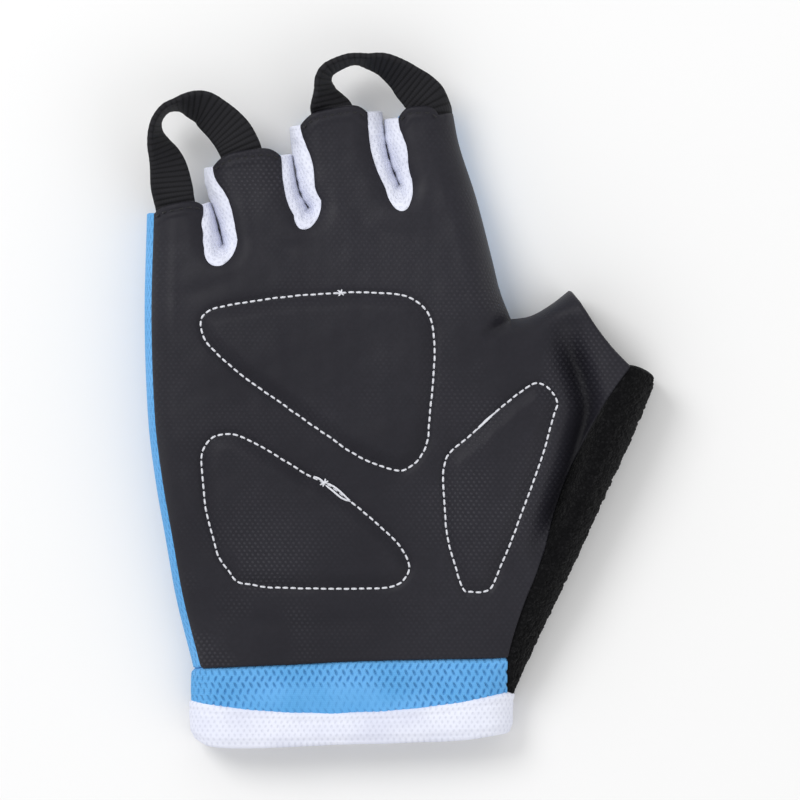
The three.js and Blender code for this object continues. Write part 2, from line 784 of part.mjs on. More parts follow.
// The mesh back: hand-shaped, flat where it rests, wrapping round the little side to the palm.
function backPanel() {
  const gap = SEAM_GAP / 2;
  const vertex = (p) => wallVertex(BACK, p, MESH_WALL);
  const reach = FLOOR_ROUND * BACK_TURN;
  const hem = (x) => edgeAt(PALM_HEM, x).add(new THREE.Vector2(0, gap));
  const side = (y) => station(LITTLE_SIDE, y, 1);
  const bodyY = littleBodyY(hem(-PALM_WIDTH * 0.37).y);
  const seamY = (y) => inset(station(BACK_SEAM, y, -1), gap);
  const lower = hem(seamY(hem(PALM_WIDTH / 2).y).x);
  const top = seamY(crotch.y - reach);
  const rightBody = [
    ...count(LOWER_ROWS + middleFan).map((t) => seamY(lower.y + (top.y - lower.y) * t)),
    ...[...indexBody].reverse().slice(1).map((at) => inset(at, reach)),
  ];
  rightBody[0] = lower;
  const grids = panelGrids({
    reach: (at) => at.show * BACK_SHOW + gap,
    hem,
    littleBody: bodyY.map((y) => inset(side(y), reach)),
    littleFinger: littleFingerY.map((y) => inset(side(y), reach)),
    rightBody,
    rightFinger: indexFinger.map((at) => inset(at, reach)),
    trim: BACK_TRIM,
  });
  const sheet = new Sheet();
  for (const grid of grids) sheet.grid(grid.map((row) => row.map(vertex)));
  const strip = SIDE_STRIP - gap;
  sheet.grid(
    [...bodyY, ...littleFingerY.slice(1)].map(side).map((at) => [
      ...[...ROUNDING].reverse().map((share) => vertex(inset(at, reach * share))),
      equatorVertex(at, MESH_WALL),
      ...[0.06, 0.35, 1].map((share) => wallVertex(PALM, inset(at, strip * share), MESH_WALL)),
    ]),
  );
  const fork = { s: inset(indexBody[INDEX_STEPS], gap), dir: indexBody[INDEX_STEPS].dir };
  const wraps = [...[...indexFinger].reverse(), ...indexBody.slice(1, -1), fork];
  sheet.grid(
    wraps.map((at) => [
      equatorVertex(at, MESH_WALL, -gap),
      ...ROUNDING.map((share) => vertex(at === fork && share === 1 ? top : inset(at, reach * share))),
    ]),
  );
  return sheet.geometry();
}

// A finger gusset: a strip of mesh round the slit, from the palm's edge to the back's.
function gusset(stations) {
  const gap = SEAM_GAP / 2;
  const vertex = (face, at, distance) => wallVertex(face, inset(at, distance), GUSSET_WALL);
  const rows = stations.map((at) => [
    ...[...ROUNDING].reverse().map((share) => vertex(PALM, at, (at.show - gap) * share)),
    equatorVertex(at, GUSSET_WALL),
    ...ROUNDING.map((share) => vertex(BACK, at, (at.show * BACK_SHOW - gap) * share)),
  ]);
  return new Sheet().grid(rows).geometry();
}

// The terry thumb back: from the leather's seam round the thumb's outer side and under it.
function thumbTerry() {
  const gap = SEAM_GAP / 2;
  const bottom = edgeAt(BINDING_TOP, TERRY_SEAM[0].across * PALM_WIDTH).y + gap;
  const hem = edgeAt(PALM_HEM, TERRY_SEAM[1].across * PALM_WIDTH).y + gap;
  const levels = [bottom, ...seamLevels(hem)];
  const seamTop = levels.at(-1);
  const sideTop = THUMB_SIDE.at(-1).along * GLOVE_LENGTH;
  const crotchLevel = crotch.y - 2 * gap;
  const climb = levels.findIndex((y) => y > (crotchLevel + bottom) * 0.6);
  const rows = levels.length - 1;
  const terry = (face, p) => wallVertex(face, p, TERRY_WALL);
  const grid = levels.map((level, n) => {
    const t = (level - bottom) / (seamTop - bottom);
    const seam = inset(station(TERRY_SEAM, level, 1), gap);
    const side = station(THUMB_SIDE, bottom + (sideTop - bottom) * t, -1);
    const open = (n - climb) / (rows - climb);
    const under =
      n <= climb
        ? inset(station(BACK_SEAM, bottom + (crotchLevel - bottom) * (n / climb), 1), gap)
        : thumbCurve.getPointAt(open);
    const opened = Math.max(0, open) ** 2;
    const row = (end, shares, bow) => {
      const points = [side.s, ...shares.map((share) => side.s.clone().lerp(end, share)), end];
      return bowed(points, bow * opened);
    };
    const over = row(seam, [0.01, 0.06, 0.2, 0.42, 0.7], -TERRY_ROLL)
      .slice(1)
      .reverse()
      .map((p) => terry(PALM, p));
    const below = row(under, [0.01, 0.05, 0.13, 0.26, 0.45, 0.65, 0.82, 0.92], TERRY_BOW)
      .slice(1, -1)
      .map((p) => terry(BACK, p));
    const last = n > climb ? equatorVertex(thumbStation(open), TERRY_WALL, -gap) : terry(BACK, under);
    return [...over, equatorVertex(side, TERRY_WALL), ...below, last];
  });
  return new Sheet().grid(grid).geometry();
}

// A band round the wrist between two edge lines. It runs from its right end on the palm side,
// round the little side, to its right end on the back.
function wristBand({ upper, lower, palmEnd, backEnd, wall, proud, closed }) {
  const steps = 11;
  const rows = count(CUFF_ROWS).map((t) => {
    const y = (x) => lower(x) + (upper(x) - lower(x)) * t;
    const point = (x) => new THREE.Vector2(x, y(x));
    const left = station(CUFF_SIDE, y(CUFF_SIDE[1].across * PALM_WIDTH), 1);
    const curl = [...ROUNDING].reverse().map((share) => share * SIDE_ROUND * BAND_TURN);
    const leftIn = left.s.x + curl[0];
    const across = (end, reach) =>
      count(steps).map((s) => point(end(y) - reach + (leftIn - end(y) + reach) * s)).slice(0, -1);
    const flank = (face) => curl.map((d) => wallVertex(face, point(left.s.x + d), wall));
    const right = closed ? station(THUMB_SIDE, y(THUMB_SIDE[0].across * PALM_WIDTH), -1) : null;
    const rightFlank = (face) =>
      closed ? [...curl].reverse().map((d) => wallVertex(face, point(right.s.x - d), wall)) : [];
    const reach = closed ? curl[0] : 0;
    const middle = (face, end) =>
      across(end, reach).slice(closed ? 1 : 0).map((p) => wallVertex(face, p, wall));
    const loop = [
      ...rightFlank(PALM),
      ...middle(PALM, palmEnd),
      ...flank(PALM),
      equatorVertex({ s: left.s, dir: left.dir }, wall),
      ...flank(BACK).reverse(),
      ...middle(BACK, backEnd).reverse(),
      ...rightFlank(BACK).reverse(),
    ];
    if (!closed) return loop;
    const start = equatorVertex(right, wall);
    return [start, ...loop, start];
  });
  for (const vertex of new Set(rows.flat())) {
    const out = vertex.outer.clone().sub(vertex.inner).setLength(proud);
    if (proud && vertex.outer.z > proud) vertex.outer.add(out);
  }
  return new Sheet().grid(rows).geometry();
}

function cuffBand() {
  const gap = SEAM_GAP / 2;
  const end = (rows) => (y) => outlineAt(rows, y(rows[0].across * PALM_WIDTH)).x - gap;
  return wristBand({
    upper: (x) => edgeAt(PALM_HEM, x).y - 3 * gap,
    lower: (x) => edgeAt(BINDING_TOP, x).y + 2 * gap,
    palmEnd: end(TERRY_SEAM),
    backEnd: end(BACK_SEAM),
    wall: MESH_WALL,
    proud: 0,
    closed: false,
  });
}

function wristBinding() {
  const end = (y) => outlineAt(THUMB_SIDE, y(THUMB_SIDE[0].across * PALM_WIDTH)).x;
  return wristBand({
    upper: (x) => edgeAt(BINDING_TOP, x).y - SEAM_GAP / 2,
    lower: (x) => edgeAt(BINDING_BOTTOM, x).y,
    palmEnd: end,
    backEnd: end,
    wall: BINDING_WALL,
    proud: BINDING_PROUD,
    closed: true,
  });
}

// A pull loop: flat webbing that stands on edge between its ends, sewn in under the leather.
function pullLoop(rows) {
  const route = new THREE.SplineCurve(rows.map(plan));
  const under = LEATHER_WALL + SEAM_GAP * 1.5;
  const last = rows.length - 1;
  const [from, to] = [rows[1], rows[last - 1]].map(plan).map((p) => height(PALM, p.x, p.y) - under);
  const grid = count(RIBBON_STEPS).map((t) => {
    const centre = route.getPoint(t);
    const tangent = route.getTangent(t);
    const outwards = new THREE.Vector3(-tangent.y, tangent.x, 0);
    const at = t * last;
    const i = Math.min(last - 1, Math.floor(at));
    const turned = THREE.MathUtils.lerp(rows[i].tilt, rows[i + 1].tilt, smooth(at - i));
    const tilt = THREE.MathUtils.degToRad(turned);
    const across = outwards.clone().multiplyScalar(Math.cos(tilt)).setZ(Math.sin(tilt));
    const normal = outwards.clone().multiplyScalar(-Math.sin(tilt)).setZ(Math.cos(tilt));
    const level = THREE.MathUtils.lerp(from, to, smooth(t));
    const free = smooth(unit((at - 1) / 1.5)) * smooth(unit((last - 1 - at) / 1.5));
    return count(RIBBON_COLUMNS).map((s) => {
      const w = (s - 0.5) * WEBBING_WIDTH;
      const outer = new THREE.Vector3(centre.x, centre.y, level).addScaledVector(across, w);
      const inner = outer.clone().addScaledVector(normal, -WEBBING_WALL);
      const sewn = centre.clone().addScaledVector(new THREE.Vector2(outwards.x, outwards.y), w);
      return {
        outer: wallVertex(PALM, sewn, under).inner.lerp(outer, free),
        inner: wallVertex(PALM, sewn, under + WEBBING_WALL).inner.lerp(inner, free),
      };
    });
  });
  return new Sheet().grid(grid).geometry();
}

const LEATHER = { color: 0x303036, roughness: 0.75, metalness: 0 };
const BLUE_MESH = { color: 0x4f9fe0, roughness: 0.85, metalness: 0 };
const WHITE_MESH = { color: 0xe8e8f4, roughness: 0.9, metalness: 0 };
const TERRY = { color: 0x161617, roughness: 1, metalness: 0 };
const WEBBING = { color: 0x1e1e20, roughness: 0.8, metalness: 0 };

const glove = new THREE.Group();
const add = (name, geometry, look) => {
  const mesh = new THREE.Mesh(geometry, new THREE.MeshStandardMaterial(look));
  mesh.name = name;
  glove.add(mesh);
};

add('palm_panel', palmPanel(), LEATHER);
add('back_panel', backPanel(), BLUE_MESH);
SLITS.forEach((slit, i) => add('gusset_' + slit.name, gusset(slits[i]), WHITE_MESH));
add('thumb_terry', thumbTerry(), TERRY);
add('cuff_band', cuffBand(), BLUE_MESH);
add('wrist_binding', wristBinding(), WHITE_MESH);
for (const loop of LOOPS) add(loop.name, pullLoop(loop.rows), WEBBING);

// The origin goes to the middle of the glove, on the surface that it lies on.
const box = new THREE.Box3().setFromObject(glove);
const middle = box.getCenter(new THREE.Vector3());
glove.position.set(-middle.x, -middle.y, -box.min.z);

const group = new THREE.Group();
group.add(glove);
export default group;
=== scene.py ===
"""A right-hand half-finger training glove, lying on its back with the palm up.

Lengths are millimetres in the glove's own plan, as in the solids, until a mesh is made in metres.
"""
import math

import bpy
import numpy as np
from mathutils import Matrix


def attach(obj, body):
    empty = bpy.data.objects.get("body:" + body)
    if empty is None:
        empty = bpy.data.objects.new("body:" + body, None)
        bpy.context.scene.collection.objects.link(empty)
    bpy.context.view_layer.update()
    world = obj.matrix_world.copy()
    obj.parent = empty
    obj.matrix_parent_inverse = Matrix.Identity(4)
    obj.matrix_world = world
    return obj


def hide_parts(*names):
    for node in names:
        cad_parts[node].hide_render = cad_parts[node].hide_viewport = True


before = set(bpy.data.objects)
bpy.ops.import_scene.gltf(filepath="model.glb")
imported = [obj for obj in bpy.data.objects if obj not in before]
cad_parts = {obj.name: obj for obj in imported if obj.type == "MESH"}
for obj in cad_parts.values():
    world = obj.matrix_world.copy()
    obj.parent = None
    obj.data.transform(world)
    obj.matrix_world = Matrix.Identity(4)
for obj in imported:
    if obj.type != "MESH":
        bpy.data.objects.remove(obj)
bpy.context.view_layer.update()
scene = bpy.context.scene

MM = 0.001
ORIGIN = (18.266, 86.537)  # the frame's origin in the plan
WIDTH, LENGTH, HIGH = 91.0, 160.0, 22.0
SIDE_ROUND, FLOOR_ROUND = 8.0, 6.5  # how far in the sides are rounded, above and below
PALM_TURN, BACK_TURN, BAND_TURN = 0.45, 0.6, 0.6  # the shares of that in a wrapped edge
EQUATOR = 0.42  # the level of the sides, as a share of the height
SHOW, BACK_SHOW = 5.0, 0.8  # how far a gusset shows, and the share of it below
STRIP, SLIT = 1.8, 0.08  # the back's strip beside the palm, and the width of a slit
GAP, WEB_ROOM = 0.1, 0.4  # room beside a seam, and between a panel's rows and a slit
TUCK = 0.6  # how far the cuff reaches under its neighbours
TIP_BULGE, YOKE_GAP = 2.4, 2.8  # the bow of a finger's edge, and the yoke's row below a slit
PAD_CROWN, PAD_SLOPE = 1.35, 4.2
HEM_STITCH = 1.35  # from a finger's edge to its stitches
LEATHER, MESH, GUSSET, TERRY, BINDING = 1.3, 1.0, 0.9, 1.8, 2.0  # walls
WEB_WIDTH, WEB_WALL, RIB = 10.0, 1.3, 1.3  # the loops' webbing
PALM, BACK = 1, -1

# Rows and columns of a panel's blocks
FINGER_ROWS, FINGER_COLUMNS, WEB, BODY, YOKE = 36, 30, 20, 168, 14
CROTCH, THUMB, INDEX = 8, 30, 30
HALF = CROTCH // 2
LOWER = BODY - INDEX - HALF

# Outlines: (along, across) in shares of LENGTH and WIDTH
CUFF_SIDE = [(0.0, -0.365), (0.07, -0.373), (0.125, -0.3725)]
LITTLE_SIDE = [(0.13, -0.371), (0.228, -0.414), (0.322, -0.4435), (0.416, -0.472), (0.509, -0.4915),
               (0.665, -0.5015), (0.831, -0.4955)]
INDEX_SIDE = [(0.667, 0.506), (0.709, 0.477), (0.759, 0.455), (0.856, 0.411), (0.939, 0.364),
              (0.988, 0.347)]
THUMB_SIDE = [(0.0, 0.506), (0.075, 0.508), (0.142, 0.557), (0.294, 0.684), (0.388, 0.759),
              (0.481, 0.835), (0.574, 0.903)]
TERRY_SEAM = [(0.08, 0.498), (0.139, 0.498), (0.219, 0.538), (0.288, 0.585), (0.384, 0.635),
              (0.45, 0.681), (0.541, 0.764), (0.592, 0.83)]
BACK_SEAM = [(0.08, 0.455), (0.25, 0.445), (0.45, 0.44), (0.6, 0.468), (0.667, 0.506)]
# Edges: (across, along)
THUMB_TOP = [(0.506, 0.667), (0.56, 0.672), (0.615, 0.6895), (0.665, 0.7115)]
PALM_HEM = [(-0.38, 0.122), (-0.13, 0.128), (0.08, 0.134), (0.5, 0.139)]
BINDING_TOP = [(-0.373, 0.068), (-0.27, 0.058), (-0.02, 0.049), (0.28, 0.059), (0.506, 0.081)]
BINDING_BOTTOM = [(-0.365, 0.012), (-0.33, 0.003), (-0.24, 0.0), (0.0, 0.005), (0.36, 0.0125),
                  (0.506, 0.0234)]
LENGTHWISE = [(0.0, 0.55), (0.07, 0.58), (0.14, 0.66), (0.3, 0.86), (0.5, 1.0), (0.68, 0.97),
              (0.8, 0.85), (0.9, 0.75), (1.0, 0.7)]
CROSSWISE = [(-0.5, 0.88), (-0.25, 0.98), (0.05, 1.0), (0.4, 0.98), (0.65, 0.88), (0.9, 0.76)]
# Slits: bottom, depth below it and lean there, then per wall the (across, along) rows and shows
SLITS = [
    ((-0.2865, 0.785), 1.12, -0.5,
     [(-0.3185, 0.849), (-0.3035, 0.824)], (0.4, 0.76, 0.92),
     [(-0.339, 0.902), (-0.3325, 0.872), (-0.303, 0.824)], (0.45, 0.86, 0.76)),
    ((-0.051, 0.841), 1.04, 0.2,
     [(-0.0945, 0.924), (-0.0765, 0.869)], (0.55, 0.66, 0.8),
     [(-0.104, 0.966), (-0.0945, 0.923), (-0.0765, 0.869)], (0.55, 0.93, 0.72)),
    ((0.1985, 0.878), 1.36, 1.3,
     [(0.153, 0.991), (0.16, 0.95), (0.175, 0.912)], (0.74, 0.78, 0.7),
     [(0.156, 0.978), (0.16, 0.95), (0.175, 0.912)], (0.72, 0.96, 0.66)),
]
FINGER_BULGE = (0.58, 1.04, 1.02, 1.0)
LITTLE_BASE, INDEX_BASE = 0.786, 0.845
# Stitch lines of the three pads, in the plan
PADS = [
    [(-30.2, 108), (-27.2, 109.5), (-19, 111), (-9, 112.3), (3.5, 113.2), (12.5, 113.2), (19, 112.5),
     (22.5, 111), (25, 108.5), (26.3, 105.3), (26.8, 101), (26.8, 95), (26.3, 89), (25.5, 80),
     (25.3, 77), (24.3, 74), (22.3, 71), (19, 69), (16, 69.3), (11, 71), (5.3, 74), (1.3, 77),
     (-3.3, 80), (-11.7, 86), (-20.7, 92.3), (-27.2, 98), (-30, 101), (-31.2, 104), (-31.2, 106.5)],
    [(-25.5, 78), (-21.5, 77.5), (-14.7, 74), (-5, 68), (1, 65), (8.7, 59), (15.5, 53), (18.3, 50),
     (20, 47), (20.5, 44), (18, 40.7), (11, 39.5), (-12.5, 39.7), (-18.5, 40.5), (-22.2, 41.2),
     (-24.5, 44), (-26.7, 47), (-27.7, 50), (-30, 59), (-30.7, 65), (-31.2, 71.5), (-30.5, 74.5),
     (-28.5, 77)],
    [(52.7, 90.7), (55.7, 89), (57.5, 86), (56.7, 83), (54.2, 74), (50, 62), (45.5, 50), (43, 44),
     (41.2, 40), (39.5, 38.7), (36, 38.7), (34, 39.5), (31.5, 47), (30, 53), (29.3, 62), (29, 66.5),
     (29.5, 71), (31.3, 74), (35, 77), (41.5, 83), (49, 89)],
]
# Valleys of the palm: depth, width, roundness (under 2 is a crease) and the plan points
THUMB_FOLD = [(59.5, 104), (61, 98.3), (63.3, 91.5), (64.7, 85.7), (64.4, 81.5), (62.7, 75.7),
              (60.6, 69), (58.2, 62.2), (56, 55.7), (54, 49.5)]
FOLDS = [
    (7.0, 3.5, 2, THUMB_FOLD),
    (2.4, 1.3, 2, [(46.2, 106.9), (43, 104.9), (40.5, 103.1)]),
    (0.5, 2.2, 2, [(-40, 112), (-30, 114), (-20, 118)]),
    (0.5, 2.0, 2, [(-18, 128), (-10, 124), (-4, 125)]),
    (0.45, 2.4, 2, [(6, 136), (12, 129), (20, 127), (28, 130)]),
    (0.4, 3.0, 2, [(-38, 60), (-34, 50), (-30, 34)]),
    (0.5, 2.6, 2, [(24, 60), (27, 50), (27, 38), (24, 28)]),
    (0.4, 2.4, 2, [(-24, 33), (-6, 30), (14, 32)]),
]


def smooth(t):
    return t * t * (3 - 2 * t)


def ramp(x, low, high):
    return smooth(np.clip((x - low) / (high - low), 0, 1))


def bell(x, power=2):
    return np.exp(-(x**power))


def lookup(rows, at):
    """A table's value as a smooth function of its key, straight on past both ends."""
    k, v = np.array(rows, float).T
    at = np.asarray(at, float)
    slope = np.gradient(v, k)
    slope[1:-1] = (v[2:] - v[:-2]) / (k[2:] - k[:-2])
    i = np.clip(np.searchsorted(k, at) - 1, 0, len(k) - 2)
    span = k[i + 1] - k[i]
    t = np.clip((at - k[i]) / span, 0, 1)
    value = v[i] + (v[i + 1] - v[i]) * smooth(t)
    value = value + slope[i] * span * t * (1 - t) ** 2 - slope[i + 1] * span * t * t * (1 - t)
    value = value + np.where(at < k[0], slope[0] * (at - k[0]), 0)
    return value + np.where(at > k[-1], slope[-1] * (at - k[-1]), 0)


def outline(rows, y):
    y = np.asarray(y, float)
    return stack(lookup(rows, y / LENGTH) * WIDTH, y)


def edge(rows, x):
    x = np.asarray(x, float)
    return stack(x, lookup(rows, x / WIDTH) * LENGTH)


def plan(rows):
    return np.array(rows, float) * (WIDTH, LENGTH)


def norm(v):
    return np.linalg.norm(v, axis=-1)


def steps(n):
    return np.linspace(0, 1, n + 1)


def stack(*parts):
    return np.stack(parts, -1)


def sample(x, known, points):
    """Points read between the places where they are known."""
    return np.stack([np.interp(x, known, column) for column in points.T], -1)


def unit(v):
    return v / np.maximum(norm(v)[..., None], 1e-9)


def heading(degrees):
    return np.array([math.cos(math.radians(degrees)), math.sin(math.radians(degrees))])


def walked(points):
    """The length so far at each point of a row, or of each row of a grid."""
    each = norm(np.diff(points, axis=-2))
    return np.concatenate([np.zeros((*each.shape[:-1], 1)), np.cumsum(each, axis=-1)], -1)


def grid_uv(across, along):
    return np.stack(np.broadcast_arrays(across, along[:, None]), -1)


def mix(a, b, n):
    t = steps(n)[:, None]
    return a + (b - a) * t


class Curve:
    """A Catmull-Rom curve, read by the share of its length."""

    def __init__(self, points, closed=False, n=800):
        p = np.array(points, float)
        if closed:
            p = np.concatenate([p[-2:], p, p[:3]])
        last = len(p) - 1
        t = np.linspace(2, last - 2, n + 1) if closed else np.linspace(0, last, n + 1)
        i = np.minimum(t.astype(int), last - 1)
        w = (t - i)[:, None]
        a, b, c, d = p[np.maximum(i - 1, 0)], p[i], p[i + 1], p[np.minimum(i + 2, last)]
        u, v = (c - a) / 2, (d - b) / 2
        self.p = (2 * b - 2 * c + u + v) * w**3 + (3 * c - 3 * b - 2 * u - v) * w**2 + u * w + b
        self.t = t / last
        self.run = walked(self.p)
        self.length = self.run[-1]

    def at(self, u):
        return sample(np.asarray(u, float) * self.length, self.run, self.p)

    def by(self, t):
        return sample(t, self.t, self.p)

    def tangent(self, u):
        u = np.asarray(u, float)
        return unit(self.at(np.clip(u + 0.004, 0, 1)) - self.at(np.clip(u - 0.004, 0, 1)))


def station(rows, y, inwards):
    """Points of an outline with the direction into the glove."""
    s = outline(rows, y)
    along = unit(outline(rows, s[..., 1] + 0.5) - outline(rows, s[..., 1] - 0.5))
    d = stack(along[..., 1], -along[..., 0])
    return s, d * np.sign(d[..., :1] * inwards)


def inset(at, distance):
    distance = np.asarray(distance, float)
    return at[0] + at[1] * (distance[..., None] if distance.ndim else distance)


def slit_wall(rows, bottom, shows, towards):
    """One wall of a slit, from the finger's edge down to the slit's bottom."""
    points = plan(list(rows) + [bottom])
    points[:, 0] += towards * SLIT / 2
    curve = Curve(points)
    t = steps(FINGER_ROWS)
    tangent = curve.tangent(t)
    d = stack(-tangent[:, 1], tangent[:, 0])
    d *= np.sign(d[:, :1] * towards)
    tip, middle, web = shows
    show = np.where(t < 0.5, tip + (middle - tip) * smooth(np.clip(2 * t, 0, 1)),
                    middle + (web - middle) * smooth(np.clip(2 * t - 1, 0, 1)))
    return curve.at(t), d, show * SHOW


def slit_stations(slit):
    """Stations down the little side of a slit, round its bottom and up the thumb side."""
    bottom, below, lean, little, little_shows, thumb, thumb_shows = slit
    s0, d0, w0 = slit_wall(little, bottom, little_shows, -1)
    s1, d1, w1 = [a[::-1] for a in slit_wall(thumb, bottom, thumb_shows, 1)]
    centre = (s0[-1] + s1[0]) / 2
    radius = norm(s0[-1] - s1[0]) / 2
    t = steps(WEB)[1:-1, None]
    across = -np.cos(np.pi * t)
    arm = np.where(across < 0, d0[-1] * (radius + w0[-1]), d1[0] * (radius + w1[0]))
    point = arm * np.abs(across)
    point[:, 1] -= (radius + below * SHOW) * np.sin(np.pi * t[:, 0])
    point[:, 0] += lean * np.sin(np.pi * t[:, 0])
    d = unit(point)
    show = norm(point) - radius
    return (np.concatenate([s0, centre + d * radius, s1]), np.concatenate([d0, d, d1]),
            np.concatenate([w0, show, w1]))


slits = [slit_stations(s) for s in SLITS]
WEB_START, WEB_END = FINGER_ROWS, FINGER_ROWS + WEB
crotch = plan(THUMB_TOP)[0]
index_body = station(INDEX_SIDE, np.linspace(INDEX_BASE * LENGTH, crotch[1], INDEX + 1), -1)
index_finger = station(
    INDEX_SIDE, np.linspace(INDEX_BASE, INDEX_SIDE[-1][0], FINGER_ROWS + 1) * LENGTH, -1)
thumb_curve = Curve(plan(THUMB_TOP))


def thumb_station(t):
    tangent = thumb_curve.tangent(t)
    return thumb_curve.at(t), stack(tangent[..., 1], -tangent[..., 0])


thumb_top = thumb_station(steps(THUMB))


def fan():
    a, b = index_body[1][-1], thumb_top[1][0]
    start = math.atan2(a[1], a[0]) - (2 * math.pi if a[1] > 0 else 0)
    angle = start + (math.atan2(b[1], b[0]) - start) * steps(CROTCH)
    return np.tile(crotch, (CROTCH + 1, 1)), stack(np.cos(angle), np.sin(angle))


crotch_fan = fan()


def side_lines():
    def walk(rows, low, high):
        return outline(rows, np.linspace(low, high, 60) * LENGTH)

    def wall(points):
        return np.concatenate([[points[0] + unit(points[0] - points[1]) * SIDE_ROUND], points])

    lines = [walk(CUFF_SIDE, -0.05, 0.125), walk(LITTLE_SIDE, 0.13, 0.9),
             walk(INDEX_SIDE, 0.667, 1.05), walk(THUMB_SIDE, -0.05, 0.61),
             wall(thumb_top[0][::-1])]
    for s, _, _ in slits:
        lines.append(wall(s))
        lines.append(wall(s[::-1]))
    return lines


def distance(line, p, closed=False):
    """How far each point is from a line, in blocks that fit in memory."""
    line = np.concatenate([line, line[:1]]) if closed else line
    a, d = line[:-1], np.diff(line, axis=0)
    size = np.maximum((d * d).sum(1), 1e-9)
    out = np.empty(len(p))
    for k in range(0, len(p), 20000):
        q = p[k:k + 20000, None, :] - a
        t = np.clip((q * d).sum(2) / size, 0, 1)
        q -= d * t[..., None]
        out[k:k + 20000] = np.sqrt((q * q).sum(2).min(1))
    return out


def off_ends(line, p):
    """How far each point is from a line's nearer end."""
    return np.minimum(norm(p - line[0]), norm(p - line[-1]))


def inside(line, p):
    a, b = line, np.roll(line, -1, axis=0)
    out = np.zeros(len(p), bool)
    for (ax, ay), (bx, by) in zip(a, b):
        if ay == by:
            continue
        hit = (ay > p[:, 1]) != (by > p[:, 1])
        out ^= hit & (p[:, 0] < (bx - ax) * (p[:, 1] - ay) / (by - ay) + ax)
    return out


sides = side_lines()
pad_lines = [Curve(p, closed=True, n=300).p for p in PADS]
fold_lines = [(*fold[:3], Curve(fold[3], n=60).p) for fold in FOLDS]


def ripple(p, seed, scale, amount):
    """Smooth noise: a sum of seeded waves about scale long."""
    rng = np.random.default_rng(seed)
    angle = rng.uniform(0, 2 * np.pi, 10)
    k = 2 * np.pi / (scale * rng.uniform(0.7, 1.5, 10))
    phase = rng.uniform(0, 2 * np.pi, 10)
    waves = np.sin((p[:, :1] * np.cos(angle) + p[:, 1:2] * np.sin(angle)) * k + phase)
    return waves.sum(1) * amount / 3


def standing(p):
    return HIGH * lookup(LENGTHWISE, p[:, 1] / LENGTH) * lookup(CROSSWISE, p[:, 0] / WIDTH)


hems = []  # the finger edges of the leather, filled in below


def relief(p, pads):
    """What the leather adds to or takes from the plain palm side."""
    z = ripple(p, 3, 16, 0.16) + ripple(p, 5, 6, 0.05)
    for depth, width, power, line in fold_lines:
        d = distance(line, p)
        fade = 0.45 + 0.55 * ramp(off_ends(line, p), 0, 3 * width)
        z -= depth * fade * bell(d / width, power)
    if pads:
        for line in hems:
            d = distance(line, p)
            z += 0.3 * (1 - ramp(d, 2.5, 3.3)) - 0.4 * bell((d - HEM_STITCH) / 0.4)
        for line in pad_lines:
            d = distance(line, p, closed=True)
            within = inside(line, p)
            z += np.where(within, PAD_CROWN * ramp(d, 0.2, PAD_SLOPE), 0)
            z -= 0.6 * bell(d / 0.7) + 0.3 * bell(d / 2.2)
    return z


def height(face, p, leather=False, full=0.0, known=None):
    """full makes the side rounder, from 0 for an ellipse up to 1. known is the points' own inset."""
    shape = p.shape[:-1]
    p = p.reshape(-1, 2)
    d = np.min([distance(line, p) for line in sides], axis=0)
    if known is not None:
        known = np.broadcast_to(known, shape).reshape(-1)
        d = np.where(np.abs(d - known) < 0.06, known, d)
    q = 1 - np.minimum(1, d / (SIDE_ROUND if face == PALM else FLOOR_ROUND))
    share = (1 - q * q) ** (0.5 - 0.22 * full)
    tall = standing(p)
    level = EQUATOR * tall
    if face == BACK:
        z = level * (1 - share)
    else:
        z = level + (tall - level + relief(p, leather)) * share
        if leather:
            z += 0.3 * share
    return z.reshape(shape)


def equator(p):
    return EQUATOR * standing(p.reshape(-1, 2)).reshape(p.shape[:-1])


def raised(face, p, leather=False, full=0.0, known=None):
    return np.concatenate([p, height(face, p, leather, full, known)[..., None]], -1)


def at_equator(at, shift=0.0):
    return np.concatenate([at[0], (equator(at[0]) + shift)[..., None]], -1)


